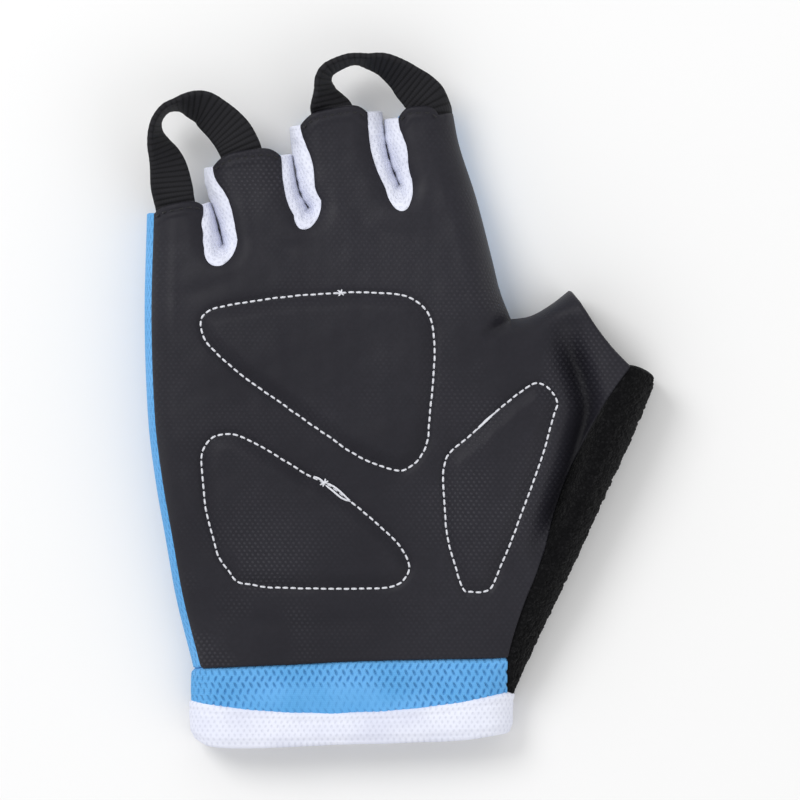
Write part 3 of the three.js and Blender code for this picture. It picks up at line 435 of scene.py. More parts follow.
class Shell:
    """A closed sheet with a rounded rim, from grids of points that share their edges."""

    def __init__(self, wall):
        self.wall, self.grids = wall, []

    def add(self, points, out, uv=None):
        """points is rows by columns by 3, and out a vector or grid that points outwards."""
        if uv is None:
            uv = points[..., :2]
        self.grids.append((points, np.broadcast_to(out, points.shape), uv))
        return self

    def build(self, name, rim=0.35, shape=None):
        points = np.concatenate([g[0].reshape(-1, 3) for g in self.grids])
        uvs = np.concatenate([g[2].reshape(-1, 2) for g in self.grids])
        key = np.round(points * 400).astype(np.int64)
        _, first, number = np.unique(key, axis=0, return_index=True, return_inverse=True)
        number = number.reshape(-1)
        quads, start = [], 0
        for grid, out, _ in self.grids:
            rows, columns = grid.shape[:2]
            ids = number[start:start + rows * columns].reshape(rows, columns)
            start += rows * columns
            q = stack(ids[:-1, :-1], ids[:-1, 1:], ids[1:, 1:], ids[1:, :-1]).reshape(-1, 4)
            diagonal = np.cross(grid[1:, 1:] - grid[:-1, :-1], grid[1:, :-1] - grid[:-1, 1:])
            facing = (diagonal * (out[:-1, :-1] + out[1:, 1:])).sum(-1).sum()
            quads.append(q if facing > 0 else q[:, ::-1])
        quads = np.concatenate(quads)
        quads = quads[[len(set(q)) > 2 for q in quads.tolist()]]
        verts, uv = points[first], uvs[first]
        normal = np.zeros_like(verts)
        a, b, c, d = (verts[quads[:, k]] for k in range(4))
        face = np.cross(c - a, d - b)
        for k in range(4):
            np.add.at(normal, quads[:, k], face)
        normal = unit(normal)
        if shape is not None:
            verts = verts + normal * shape(verts, uv)[:, None]
        n = len(verts)
        ends = stack(quads, np.roll(quads, -1, axis=1)).reshape(-1, 2)
        ends = ends[ends[:, 0] != ends[:, 1]]
        code = ends[:, 0] * n + ends[:, 1]
        edge_ids = ends[~np.isin(code, ends[:, 1] * n + ends[:, 0])]
        away = np.zeros_like(verts)
        outward = np.cross(verts[edge_ids[:, 1]] - verts[edge_ids[:, 0]], normal[edge_ids[:, 0]])
        for k in (0, 1):
            np.add.at(away, edge_ids[:, k], unit(outward))
        away = unit(away)
        border = np.unique(edge_ids)
        place = np.full(n, -1)
        place[border] = np.arange(len(border))
        m = len(border)
        inner = verts - normal * self.wall
        turns = [inner[border] * s + verts[border] * (1 - s)
                 + away[border] * self.wall * rim * math.sin(math.pi * s) for s in (0.2, 0.5, 0.8)]
        allv = np.concatenate([verts, inner] + turns)
        faces = [quads, quads[:, ::-1] + n]
        p, q = edge_ids.T
        rings = [(p, q)] + [(2 * n + j * m + place[p], 2 * n + j * m + place[q]) for j in range(3)]
        rings.append((p + n, q + n))
        for (a0, a1), (b0, b1) in zip(rings, rings[1:]):
            faces.append(stack(a1, a0, b0, b1))
        alluv = np.concatenate([uv, uv] + [uv[border]] * 3)
        return make(name, allv, np.concatenate(faces), alluv)


def make(name, verts, faces, uv=None):
    """A smooth mesh object from millimetres in the plan. Repeated corners make a triangle."""
    verts = (np.asarray(verts, float) - (*ORIGIN, 0)) * MM
    verts[:, 2] = np.maximum(verts[:, 2], 0)  # it rests on the surface
    polys = []
    for f in faces.tolist():
        f = [v for k, v in enumerate(f) if v != f[k - 1]]
        if len(f) > 2:
            polys.append(f)
    mesh = bpy.data.meshes.new(name)
    mesh.from_pydata(verts.tolist(), [], polys)
    if uv is not None:
        layer = mesh.uv_layers.new(name="UVMap")
        corner = np.empty(len(mesh.loops), np.int32)
        mesh.loops.foreach_get("vertex_index", corner)
        layer.data.foreach_set("uv", np.asarray(uv, np.float32)[corner].ravel())
    mesh.polygons.foreach_set("use_smooth", np.ones(len(mesh.polygons), bool))
    mesh.update()
    piece = bpy.data.objects.new(name, mesh)
    scene.collection.objects.link(piece)
    return piece


def coons(bottom, top, left, right):
    """Points inside four edges: bottom and top run the same way, and so do left and right."""
    u = (norm(bottom - bottom[0]) / norm(bottom[-1] - bottom[0]))[None, :, None]
    v = np.linspace(0, 1, len(left))[:, None, None]
    grid = bottom[None] * (1 - v) + top[None] * v
    grid = grid + (left[:, None] - bottom[0] * (1 - v) - top[0] * v) * (1 - u)
    return grid + (right[:, None] - bottom[-1] * (1 - v) - top[-1] * v) * u


def bowed(row, depth):
    """A straight row of points bent to its left, most in its middle."""
    along = row[-1] - row[0]
    left = unit(np.array([-along[1], along[0]]))
    t = norm(row - row[0]) / norm(along)
    return row + left * (depth * 4 * t * (1 - t))[:, None]


def hem(x):
    """The edge of both panels over the cuff."""
    return edge(PALM_HEM, x) + (0, GAP)


def panel(reach, left_body, left_finger, right_body, right_finger, trim):
    """The blocks of a hand-shaped panel: body, yoke and four fingers."""
    edges = [inset((s, d), w * reach + GAP) for s, d, w in slits]
    webs = [e[WEB_START:WEB_END + 1] for e in edges]
    starts = [left_finger[0]] + [web[-1] for web in webs]
    ends = [web[0] for web in webs] + [right_finger[0]]
    bases = [mix(a, b, FINGER_COLUMNS) for a, b in zip(starts, ends)]
    row, spread = [], []  # the fingers' bases, and the same row with room round the webs
    for i, base in enumerate(bases):
        low = base[0, 0] if i == 0 else webs[i - 1][:, 0].max() + WEB_ROOM
        high = base[-1, 0] if i == len(webs) else webs[i][:, 0].min() - WEB_ROOM
        if spread:
            row.append(webs[i - 1][1:-1])
            spread.append(np.linspace(spread[-1][-1], low, WEB + 1)[1:-1])
        row.append(base)
        spread.append(np.linspace(low, high, FINGER_COLUMNS + 1))
    row = np.concatenate(row)
    spread = np.concatenate(spread)
    u = (spread - spread[0]) / (spread[-1] - spread[0])
    hem_row = hem(left_body[0, 0] + (right_body[0, 0] - left_body[0, 0]) * u)
    hem_row[0], hem_row[-1] = left_body[0], right_body[0]
    low, high = left_body[-1 - YOKE], right_body[-1 - YOKE]
    line = [low] + [web[WEB // 2] - (0, YOKE_GAP) for web in webs] + [high]
    x = spread + (low[0] - spread[0]) * (1 - u) ** 3 + (high[0] - spread[-1]) * u**3
    yoke_row = stack(x, lookup(line, x))
    body = coons(hem_row, yoke_row, left_body[:-YOKE], right_body[:-YOKE])
    t = steps(YOKE)[:, None, None]
    yoke = yoke_row[None] * (1 - t) + row[None] * t
    yoke[:, 0], yoke[:, -1] = left_body[-1 - YOKE:], right_body[-1 - YOKE:]
    blocks = [body, yoke]
    for i, base in enumerate(bases):
        left = left_finger if i == 0 else edges[i - 1][WEB_END:]
        right = right_finger if i == len(webs) else edges[i][:WEB_START + 1][::-1]
        tip = mix(left[-1], right[-1], FINGER_COLUMNS)
        s = np.linspace(-1, 1, FINGER_COLUMNS + 1)
        tip[:, 1] += (FINGER_BULGE[i] * TIP_BULGE - trim) * (1 - s**4)
        blocks.append(coons(base, tip, left, right))
    return blocks


def left_levels(start):
    yoke = LITTLE_BASE * LENGTH - YOKE_GAP * 4
    return np.r_[np.linspace(start, yoke, BODY - YOKE + 1),
                 np.linspace(yoke, LITTLE_BASE * LENGTH, YOKE + 1)[1:]]


FINGER_LEVELS = np.linspace(LITTLE_BASE, LITTLE_SIDE[-1][0], FINGER_ROWS + 1) * LENGTH


def shares(count, power):
    """Shares up to 1 that lie closest near 0."""
    return (np.arange(1, count + 1) / count) ** power


SHARES = shares(16, 2)


def wrap(at, reach, face, leather=False, shift=0.0, far=None):
    """A side's rows: from the equator in over the palm side or under the back."""
    points = [at_equator(at, shift)]
    for share in SHARES:
        points.append(raised(face, inset(at, reach * share), leather))
    if far is not None:
        points[-1][-1] = far
    grid = np.stack(points, 1)
    uv = grid[:, -1:, :2] - at[1][:, None] * walked(grid[:, ::-1])[:, ::-1, None]
    return grid, uv


def out_from(at, face, columns):
    d = np.concatenate([-at[1], np.full((len(at[1]), 1), 0.6 * face)], -1)
    return np.repeat(d[:, None], columns, axis=1)


def join(*stations):
    return np.concatenate([s[0] for s in stations]), np.concatenate([s[1] for s in stations])


def part_of(at, where):
    return at[0][where], at[1][where]


def seam_levels(start):
    return np.linspace(start, TERRY_SEAM[-1][0] * LENGTH, THUMB + HALF + 1)


def tip_lines(blocks):
    return [b[-1] for b in blocks[2:]]


def palm_panel():
    reach = SIDE_ROUND * PALM_TURN

    def side(y):
        return inset(station(LITTLE_SIDE, y, 1), STRIP + GAP)

    corner = outline(TERRY_SEAM, TERRY_SEAM[1][0] * LENGTH)
    lower = hem(corner[0] - GAP)
    right_body = np.concatenate([
        mix(lower, inset(crotch_fan, reach)[HALF], LOWER),
        inset(crotch_fan, reach)[:HALF][::-1],
        inset(index_body, reach)[::-1][1:]])
    start = side(hem(-WIDTH / 2)[1])
    left_body = side(left_levels(hem(start[0])[1]))
    blocks = panel(1.0, left_body, side(FINGER_LEVELS), right_body,
                   inset(index_finger, reach), 0)
    thumb_edge = np.concatenate([inset(crotch_fan, reach)[HALF:], inset(thumb_top, reach)[1:]])
    seam = inset(station(TERRY_SEAM, seam_levels(lower[1]), -1), GAP)
    seam[0] = lower
    tip = bowed(mix(seam[-1], thumb_edge[-1], LOWER), 0.8)
    blocks.append(coons(right_body[:LOWER + 1], tip, seam, thumb_edge))
    hems.extend(tip_lines(blocks[:-1]))
    shell = Shell(LEATHER)
    for block in blocks:
        shell.add(raised(PALM, block, True), (0, 0, 1))
    around = join(part_of(index_finger, slice(None, None, -1)), part_of(index_body, slice(1, None)),
                  part_of(crotch_fan, slice(1, None)), part_of(thumb_top, slice(1, None)))
    grid, uv = wrap(around, reach, PALM, True, GAP)
    shell.add(grid, out_from(around, PALM, grid.shape[1]), uv)
    return shell


def back_panel():
    reach = FLOOR_ROUND * BACK_TURN

    def seam(y):
        return inset(station(BACK_SEAM, y, -1), GAP)

    levels = left_levels(hem(-WIDTH * 0.37)[1])
    little = station(LITTLE_SIDE, np.r_[levels, FINGER_LEVELS[1:]], 1)
    lower = hem(seam(hem(WIDTH / 2)[1])[0])
    top = seam(crotch[1] - reach)
    right_body = np.concatenate([seam(np.linspace(lower[1], top[1], LOWER + HALF + 1)),
                                 inset(index_body, reach)[::-1][1:]])
    right_body[0] = lower
    left = inset(little, reach)
    blocks = panel(BACK_SHOW, left[:BODY + 1], left[BODY:], right_body,
                   inset(index_finger, reach), 1)
    shell = Shell(MESH)
    for block in blocks:
        shell.add(raised(BACK, block), (0, 0, -1))
    grid, uv = wrap(little, reach, BACK)
    over = np.stack([raised(PALM, inset(little, (STRIP + 0.5) * s))
                     for s in (0.02, 0.1, 0.3, 0.6, 1)], 1)
    grid = np.concatenate([grid[:, ::-1], over], 1)
    uv = grid_uv(left[:, :1] - walked(grid), left[:, 1])
    shell.add(grid, out_from(little, 0, grid.shape[1]), uv)
    fork = part_of(index_body, slice(-1, None))
    around = join(part_of(index_finger, slice(None, None, -1)), part_of(index_body, slice(1, -1)),
                  (inset(fork, GAP), fork[1]))
    grid, uv = wrap(around, reach, BACK, shift=-GAP, far=np.r_[top, height(BACK, top[None])])
    return shell.add(grid, out_from(around, BACK, grid.shape[1]), uv)


def gusset(stations, name):
    """A puffed strip of mesh round a slit, from the leather's edge to the back's."""
    s, d, show = stations
    at = (s, d)
    top, low = show + 0.5, show * BACK_SHOW + 0.3
    over = [raised(PALM, inset(at, top * f), full=0.3 - 0.3 * f, known=top * f) for f in SHARES[::-1]]
    under = [raised(BACK, inset(at, low * f), full=0.3 - 0.3 * f, known=low * f) for f in SHARES]
    grid = np.stack(over + [at_equator(at)] + under, 1)
    along = walked(inset(at, show * 0.6))
    bottom = s[FINGER_ROWS + WEB // 2]

    def puckered(verts, uv):
        out = 0.3 * bell((uv[:, 0] - 2.6) / 1.3) + ripple(verts[:, :2], 6, 3.5, 0.12)
        out = out * ramp(np.minimum(uv[:, 1], along[-1] - uv[:, 1]), 0, 3)
        top = ramp(verts[:, 2], 9, 12)
        from_bottom = verts[:, :2] - bottom
        far = norm(from_bottom)
        for turn, depth in ((-62, 0.32), (-118, 0.24), (-92, 0.15)):
            way = heading(turn)
            off = np.abs(from_bottom[:, 0] * way[1] - from_bottom[:, 1] * way[0])
            near = bell(off / 0.42) * (from_bottom @ way > 0)
            out = out - depth * near * ramp(far, 0.1, 0.8) * ramp(far, 4.2, 2.4) * top
        return out

    shell = Shell(GUSSET)
    shell.add(grid, out_from(at, 0, grid.shape[1]), grid_uv(walked(grid), along))
    return shell.build(name, shape=puckered)


def thumb_terry():
    bottom = edge(BINDING_TOP, TERRY_SEAM[0][1] * WIDTH)[1] + 2 * GAP
    fork = hem(TERRY_SEAM[1][1] * WIDTH)[1]
    levels = np.r_[np.linspace(bottom, fork, 20)[:-1],
                   np.linspace(fork, TERRY_SEAM[-1][0] * LENGTH, 200)]
    t = (levels - bottom) / (levels[-1] - bottom)
    seam = inset(station(TERRY_SEAM, levels, 1), GAP)
    side = station(THUMB_SIDE, bottom + (THUMB_SIDE[-1][0] * LENGTH - bottom) * t, -1)
    side = inset(side, 0.7 * ramp(levels, levels[-1] - 3.2, levels[-1]) ** 2), side[1]
    climb = int(np.searchsorted(levels, bottom + 0.6 * (levels[-1] - bottom)))
    rise = np.linspace(bottom, crotch[1] - 0.3, climb + 1)
    open_t = (np.arange(climb + 1, len(levels)) - climb) / (len(levels) - 1 - climb)
    rim = thumb_station(open_t)
    under = np.concatenate([inset(station(BACK_SEAM, rise, 1), GAP), rim[0]])
    opened = np.r_[np.zeros(climb + 1), open_t**2]

    def rows(end, parts, depth):
        """Points from the outer side to an end, bent to the left near the opening."""
        f = np.r_[0, parts][None, :, None]
        row = side[0][:, None] * (1 - f) + end[:, None] * f
        left = unit(stack(-(end - side[0])[:, 1], (end - side[0])[:, 0]))[:, None]
        return row + left * opened[:, None, None] * depth * 4 * f * (1 - f)

    over = rows(seam, shares(30, 1.7), -0.45)[:, :0:-1]
    below = rows(under, shares(60, 1.4), 4.4)[:, 1:]
    last = raised(BACK, below[:, -1])
    last[climb + 1:] = at_equator(rim, -GAP)
    grid = np.concatenate([raised(PALM, over), at_equator(side)[:, None],
                           raised(BACK, below[:, :-1]), last[:, None]], 1)
    uv = grid_uv(walked(grid), side[0][:, 1])
    return Shell(TERRY).add(grid, out_from(side, 0, grid.shape[1]), uv)


def wrist_band(upper, lower, rows, columns, ends=()):
    """A band round the wrist, from its right end over the palm side, round and under.

    ends are the functions for its right ends' x above and below. A closed ring has none.
    """
    curl = SHARES * SIDE_ROUND * BAND_TURN
    grids = []
    for t in steps(rows):
        def level(x):
            return lower(x) + (upper(x) - lower(x)) * t

        left = station(CUFF_SIDE, level(CUFF_SIDE[1][1] * WIDTH), 1)[0]
        right_x = station(THUMB_SIDE, level(THUMB_SIDE[0][1] * WIDTH), -1)[0][0]
        stops = [end(level) for end in ends] or [right_x - curl[-1]] * 2
        sheets = []
        for face, stop in zip((PALM, BACK), stops):
            x = np.r_[left[0] + curl, np.linspace(left[0] + curl[-1], stop, columns)[1:]]
            if not ends:
                x = np.r_[x[:-1], right_x - curl[::-1]]
            sheets.append(raised(face, stack(x, level(x))))
        ring = [sheets[0][::-1], np.r_[left, equator(left[None])][None], sheets[1]]
        if not ends:
            right = np.array([right_x, level(right_x)])
            end = np.r_[right, equator(right[None])][None]
            ring = [end] + ring + [end]
        grids.append(np.concatenate(ring))
    grid = np.stack(grids)
    outwards = (grid - grid.mean(axis=(0, 1))) * (0.2, 0, 1)
    return grid, outwards, stack(walked(grid), grid[..., 1])


def cuff_band():
    ends = (lambda level: outline(TERRY_SEAM, level(45.0))[0] - GAP,
            lambda level: outline(BACK_SEAM, level(41.0))[0] - GAP)
    band = wrist_band(lambda x: edge(PALM_HEM, x)[..., 1] + TUCK,
                      lambda x: edge(BINDING_TOP, x)[..., 1] - TUCK, 46, 300, ends)
    return Shell(MESH).add(*band)


def wrist_binding():
    band = wrist_band(lambda x: edge(BINDING_TOP, x)[..., 1] - GAP,
                      lambda x: edge(BINDING_BOTTOM, x)[..., 1], 24, 120)
    return Shell(BINDING).add(*band)


# Pull loops: (across, along, tilt in degrees)
LOOPS = {
    "pull_loop_little_ring": [
        (-0.41, 0.8, 0), (-0.414, 0.836, 0), (-0.422, 0.8625, 6), (-0.4295, 0.9, 30),
        (-0.439, 0.9205, 44), (-0.454, 0.9405, 61), (-0.4627, 0.9594, 77), (-0.459, 0.977, 84),
        (-0.438, 0.9925, 84), (-0.4066, 0.998, 79), (-0.3795, 0.998, 59), (-0.341, 0.9938, 38),
        (-0.3075, 0.98, 28), (-0.278, 0.965, 18), (-0.254, 0.948, 10), (-0.234, 0.923, 0),
        (-0.225, 0.892, 0)],
    "pull_loop_middle_index": [
        (0.022, 0.961, 0), (0.0165, 0.985, 0), (0.012, 1.0, 18), (0.0065, 1.0125, 46),
        (0.001, 1.025, 65), (-0.0028, 1.0406, 73), (0.0104, 1.0544, 77), (0.0533, 1.0664, 80),
        (0.0824, 1.069, 82), (0.1137, 1.0656, 76), (0.1555, 1.0603, 62), (0.1973, 1.0459, 48),
        (0.226, 1.032, 32), (0.254, 1.019, 14), (0.28, 1.003, 0), (0.291, 0.983, 0),
        (0.28, 0.955, 0)],
}


def pull_loop(name, rows):
    """Ribbed webbing that stands on edge between its two sewn ends."""
    table = np.array(rows)
    centre = Curve(table[:, :2] * (WIDTH, LENGTH))
    last = len(rows) - 1
    n, m = 330, 12
    t = np.interp(np.linspace(0, centre.length, n + 1), centre.run, centre.t)
    c = centre.by(t)
    along = unit(np.gradient(c, axis=0))
    outwards = stack(-along[:, 1], along[:, 0], np.zeros(n + 1))
    tilt = np.radians(np.interp(t * last, np.arange(last + 1), table[:, 2]))
    kernel = np.hanning(25)
    tilt = np.convolve(np.pad(tilt, 12, mode="edge"), kernel / kernel.sum(), "valid")
    up = np.array([0, 0, 1.0])
    across = outwards * np.cos(tilt)[:, None] + up * np.sin(tilt)[:, None]
    normal = up * np.cos(tilt)[:, None] - outwards * np.sin(tilt)[:, None]
    under = LEATHER + 0.45  # the sewn ends lie below the leather
    ends = height(PALM, c[[np.searchsorted(t, 1 / last), np.searchsorted(t, 1 - 1 / last)]]) - under
    level = ends[0] + (ends[1] - ends[0]) * smooth(t)
    free = ramp(t * last, 1, 2.5) * ramp(last - t * last, 1, 2.5)
    w = (steps(m) - 0.5) * WEB_WIDTH
    body = np.concatenate([c, level[:, None]], -1)[:, None] + across[:, None] * w[None, :, None]
    flat = c[:, None] + outwards[:, None, :2] * w[None, :, None]
    sewn = raised(PALM, flat)
    sewn[..., 2] -= under
    points = sewn + (body - sewn) * free[:, None, None]
    run = np.linspace(0, centre.length, n + 1)
    uv = grid_uv(w, run)
    shell = Shell(WEB_WALL)
    shell.add(points, np.repeat(normal[:, None], m + 1, axis=1), uv)

    def ribs(verts, uv):
        inner = ramp(np.abs(uv[:, 0]), WEB_WIDTH * 0.5, WEB_WIDTH * 0.38)
        return (0.16 * np.abs(np.sin(np.pi * uv[:, 1] / RIB)) + 0.02) * (0.3 + 0.7 * inner)

    return shell.build(name, rim=0.3, shape=ribs)


def threads(name, paths, length, gap, radius, sink=0.16, sides=7, rings=7, wander=0.12):
    """Short stitches along paths of points on a surface, each one arched and round."""
    rng = np.random.default_rng(len(name))
    verts, faces = [], []
    for path in paths:
        run = walked(path)
        count = max(1, int(run[-1] / (length + gap)))
        step = run[-1] / count
        for k in range(count):
            slack = rng.uniform(-wander, wander, 2)
            a, b = (k * step + gap / 2 + slack[0] * gap, (k + 1) * step - gap / 2 + slack[1] * gap)
            s = np.linspace(a, b, rings)
            t = np.linspace(0, 1, rings)
            p = sample(s, run, path)
            along = unit(np.gradient(p, axis=0))
            side = unit(np.cross(along, (0, 0, 1)))
            up = np.cross(side, along)
            p = p + up * (radius * (1.25 * np.sin(np.pi * t) ** 0.5 - 0.35) - sink * (
                np.abs(2 * t - 1) ** 4))[:, None] + side * rng.uniform(-0.06, 0.06)
            swell = radius * (0.55 + 0.45 * np.sin(np.pi * t) ** 0.5)
            angle = np.linspace(0, 2 * np.pi, sides, endpoint=False)
            ring = (side[:, None] * np.cos(angle)[:, None] + up[:, None] * np.sin(angle)[:, None] * 0.8)
            ring = p[:, None] + ring * swell[:, None, None]
            base = len(verts)
            verts.extend(ring.reshape(-1, 3).tolist())
            around = [(j, (j + 1) % sides) for j in range(sides)]
            for low in range(base, base + (rings - 1) * sides, sides):
                faces += [(low + j, low + q, low + sides + q, low + sides + j) for j, q in around]
            for i, turn in ((0, -1), (rings - 1, 1)):
                tip, low = len(verts), base + i * sides
                verts.append((p[i] + along[i] * swell[i] * 0.5 * turn).tolist())
                faces += [(low + j, low + q, tip)[::turn] for j, q in around]
    faces = np.array([f if len(f) == 4 else (*f, f[-1]) for f in faces])
    return make(name, np.array(verts), faces)


def finish(piece, node, surface):
    piece.data.materials.append(surface)
    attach(piece, "root")
    if node:
        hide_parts(node)
    return piece


BLUE_HOLES = (1.95, 1.6, 0.25, 0.66, 0.7)  # pitches, half sizes and softness
BLUE_SLANT = 0.3
CALM = (0.5, 11.5, 22.0, 4.0)  # where the cuff's holes close: plan point and reach


def staggered(uv, pitch_u, pitch_v, half_u, half_v, soft, slant=0.0):
    """1 in the middle of soft ovals set in staggered rows, as in Nodes.staggered."""
    v = uv[:, 1] / pitch_v
    row = np.floor(v)
    u = uv[:, 0] / pitch_u + row * 0.5
    lean = (v - row - 0.5) * slant * (2 * (row % 2) - 1)
    across = (u - np.floor(u) - 0.5 - lean) * pitch_u / half_u
    along = (v - row - 0.5) * pitch_v / half_v
    return 1 - ramp(np.hypot(across, along), 1 - soft, 1 + soft)


def in_frame(x, y, z=0.0):
    return ((x - ORIGIN[0]) * MM, (y - ORIGIN[1]) * MM, z * MM)


class Nodes:
    """Short calls for a material's nodes."""

    def __init__(self, name):
        self.material = bpy.data.materials.new(name)
        self.material.use_nodes = True
        self.tree = self.material.node_tree
        self.shader = self.tree.nodes["Principled BSDF"]

    def put(self, socket, value):
        if isinstance(value, bpy.types.NodeSocket):
            self.tree.links.new(value, socket)
        elif isinstance(value, tuple) and len(value) == 3 and socket.type == "RGBA":
            socket.default_value = (*value, 1)
        else:
            socket.default_value = value

    def node(self, kind, out=0, inputs=(), **settings):
        node = self.tree.nodes.new(kind)
        for key, value in settings.items():
            setattr(node, key, value)
        for key, value in dict(inputs).items():
            self.put(node.inputs[key], value)
        return node.outputs[out]

    def math(self, operation, a, b=0.0, clamp=False):
        return self.node("ShaderNodeMath", 0, {0: a, 1: b}, operation=operation, use_clamp=clamp)

    def times(self, a, b):
        return self.math("MULTIPLY", a, b)

    def rest(self, a):
        return self.math("SUBTRACT", 1.0, a)

    def vector(self, operation, a, b, out=0):
        return self.node("ShaderNodeVectorMath", out, {0: a, 1: b}, operation=operation)

    def split(self, vector):
        node = self.tree.nodes.new("ShaderNodeSeparateXYZ")
        self.put(node.inputs[0], vector)
        return node.outputs

    def uv(self):
        return self.node("ShaderNodeUVMap", uv_map="UVMap")

    def place(self):
        return self.node("ShaderNodeTexCoord", "Object")

    def noise(self, vector, scale, detail=2.0, rough=0.5):
        return self.node("ShaderNodeTexNoise", "Fac",
                         {"Vector": vector, "Scale": scale, "Detail": detail, "Roughness": rough})

    def blend(self, fac, a, b):
        node = self.tree.nodes.new("ShaderNodeMix")
        node.data_type = "RGBA"
        self.put(node.inputs["Factor"], fac)
        self.put(node.inputs[6], a)
        self.put(node.inputs[7], b)
        return node.outputs[2]

    def between(self, value, low, high, a=0.0, b=1.0):
        node = self.tree.nodes.new("ShaderNodeMapRange")
        node.interpolation_type = "SMOOTHSTEP"
        self.put(node.inputs["Value"], value)
        for key, number in (("From Min", low), ("From Max", high), ("To Min", a), ("To Max", b)):
            node.inputs[key].default_value = number
        return node.outputs[0]

    def staggered(self, uv, pitch_u, pitch_v, half_u, half_v, soft=0.5, jitter=0.0, slant=0.0):
        """1 in the middle of soft ovals set in staggered rows, and 0 between them."""
        if jitter:
            shake = self.node("ShaderNodeTexNoise", "Color", {"Vector": uv, "Scale": 0.35})
            shake = self.vector("SUBTRACT", shake, (0.5, 0.5, 0.5))
            shake = self.node("ShaderNodeVectorMath", 0, {0: shake, "Scale": jitter},
                              operation="SCALE")
            uv = self.vector("ADD", uv, shake)
        split = self.split(uv)
        v = self.math("DIVIDE", split[1], pitch_v)
        row = self.math("FLOOR", v)
        fv = self.math("SUBTRACT", self.math("SUBTRACT", v, row), 0.5)
        u = self.math("ADD", self.math("DIVIDE", split[0], pitch_u), self.times(row, 0.5))
        fu = self.math("SUBTRACT", self.math("FRACT", u), 0.5)
        if slant:
            turn = self.math("SUBTRACT", self.times(self.math("PINGPONG", row, 1.0), 2.0), 1.0)
            fu = self.math("SUBTRACT", fu, self.times(self.times(fv, slant), turn))
        a = self.math("POWER", self.math("DIVIDE", fu, half_u / pitch_u), 2.0)
        b = self.math("POWER", self.math("DIVIDE", fv, half_v / pitch_v), 2.0)
        d = self.math("SQRT", self.math("ADD", a, b))
        return self.between(d, 1.0 + soft, 1.0 - soft)

    def bump(self, height, distance, strength=1.0, normal=None):
        inputs = {"Height": height, "Distance": distance, "Strength": strength}
        if normal is not None:
            inputs["Normal"] = normal
        return self.node("ShaderNodeBump", 0, inputs)

    def set(self, **values):
        names = {"color": "Base Color", "rough": "Roughness", "normal": "Normal",
                 "specular": "Specular IOR Level", "sheen": "Sheen Weight",
                 "sheen_rough": "Sheen Roughness", "tint": "Sheen Tint"}
        for key, value in values.items():
            self.put(self.shader.inputs[names[key]], value)
        return self.material


# Where the leather's printed dots are worn least: plan point and reach
CLEAR_DOTS = [(-24, 36, 34), (50, 98, 30), (44, 62, 26), (-16, 138, 14)]


def leather_look():
    n = Nodes("leather")
    uv, place = n.uv(), n.place()
    dots = n.staggered(uv, 1.36, 0.95, 0.3, 0.28, 0.6, jitter=0.35)
    patch = n.between(n.noise(place, 45, 3), 0.4, 0.62)
    clear = 0.0
    for x, y, reach in CLEAR_DOTS:
        far = n.vector("DISTANCE", place, in_frame(x, y, HIGH * 0.8), "Value")
        clear = n.math("MAXIMUM", clear, n.between(far, reach * MM, reach * 0.3 * MM))
    clear = n.math("ADD", n.times(clear, 0.75), 0.25)
    shown = n.times(dots, n.times(patch, clear))
    broad = n.between(n.noise(place, 25, 2), 0.3, 0.7)
    fine = n.between(n.noise(place, 900, 3), 0.3, 0.7)
    base = n.blend(broad, (0.0122, 0.0116, 0.0168), (0.0168, 0.0161, 0.0223))
    base = n.blend(n.times(fine, 0.35), base, (0.009, 0.0087, 0.0125))
    color = n.blend(n.times(shown, 0.6), base, (0.045, 0.044, 0.054))
    # Painted shade: near black is blended in down the thumb's deep fold, where shade falls; the amount
    # is a vertex attribute of the palm's mesh.
    crease_shade = n.node("ShaderNodeAttribute", "Fac", attribute_name="crease_shade")
    color = n.blend(n.times(crease_shade, 0.6), color, (0.003, 0.003, 0.0045))
    grain = n.noise(place, 2600, 2)
    normal = n.bump(grain, 0.0001, 0.45)
    normal = n.bump(shown, 0.00016, 0.8, normal)
    rough = n.between(broad, 0.0, 1.0, 0.6, 0.5)
    return n.set(color=color, rough=rough, normal=normal, specular=0.2)


def blue_look():
    n = Nodes("blue_mesh")
    uv, place = n.uv(), n.place()
    holes = n.staggered(uv, *BLUE_HOLES, slant=BLUE_SLANT)
    off = n.vector("SUBTRACT", place, in_frame(*CALM[:2]))
    off = n.vector("MULTIPLY", off, (1 / (CALM[2] * MM), 1 / (CALM[3] * MM), 0.0))
    far = n.node("ShaderNodeVectorMath", "Value", {0: off}, operation="LENGTH")
    calm = n.between(far, 1.3, 0.5, 0.0, 0.7)
    holes = n.times(holes, n.rest(calm))
    yarn = n.staggered(uv, 0.5, 0.5, 0.2, 0.22, 0.6)
    broad = n.between(n.noise(place, 60, 3), 0.3, 0.7)
    color = n.blend(broad, (0.085, 0.33, 0.67), (0.125, 0.39, 0.76))
    color = n.blend(n.times(yarn, 0.22), color, (0.2, 0.5, 0.86))
    color = n.blend(n.times(holes, 0.55), color, (0.03, 0.17, 0.42))
    normal = n.bump(yarn, 0.00008, 0.6)
    normal = n.bump(n.rest(holes), 0.0003, 0.7, normal)
    return n.set(color=color, rough=0.8, normal=normal, specular=0.2, sheen=0.15,
                 sheen_rough=0.4, tint=(0.5, 0.75, 1.0))


def white_look():
    n = Nodes("white_mesh")
    uv, place = n.uv(), n.place()
    holes = n.staggered(uv, 1.5, 1.1, 0.24, 0.34, 0.8)
    yarn = n.staggered(uv, 0.42, 0.42, 0.16, 0.18, 0.6)
    broad = n.between(n.noise(place, 70, 3), 0.3, 0.7)
    color = n.blend(broad, (0.68, 0.7, 0.82), (0.76, 0.78, 0.88))
    color = n.blend(n.times(holes, 0.3), color, (0.46, 0.48, 0.6))
    normal = n.bump(yarn, 0.00006, 0.5)
    normal = n.bump(n.rest(holes), 0.0002, 0.6, normal)
    return n.set(color=color, rough=0.85, normal=normal, specular=0.2, sheen=0.15,
                 sheen_rough=0.4, tint=(0.9, 0.93, 1.0))


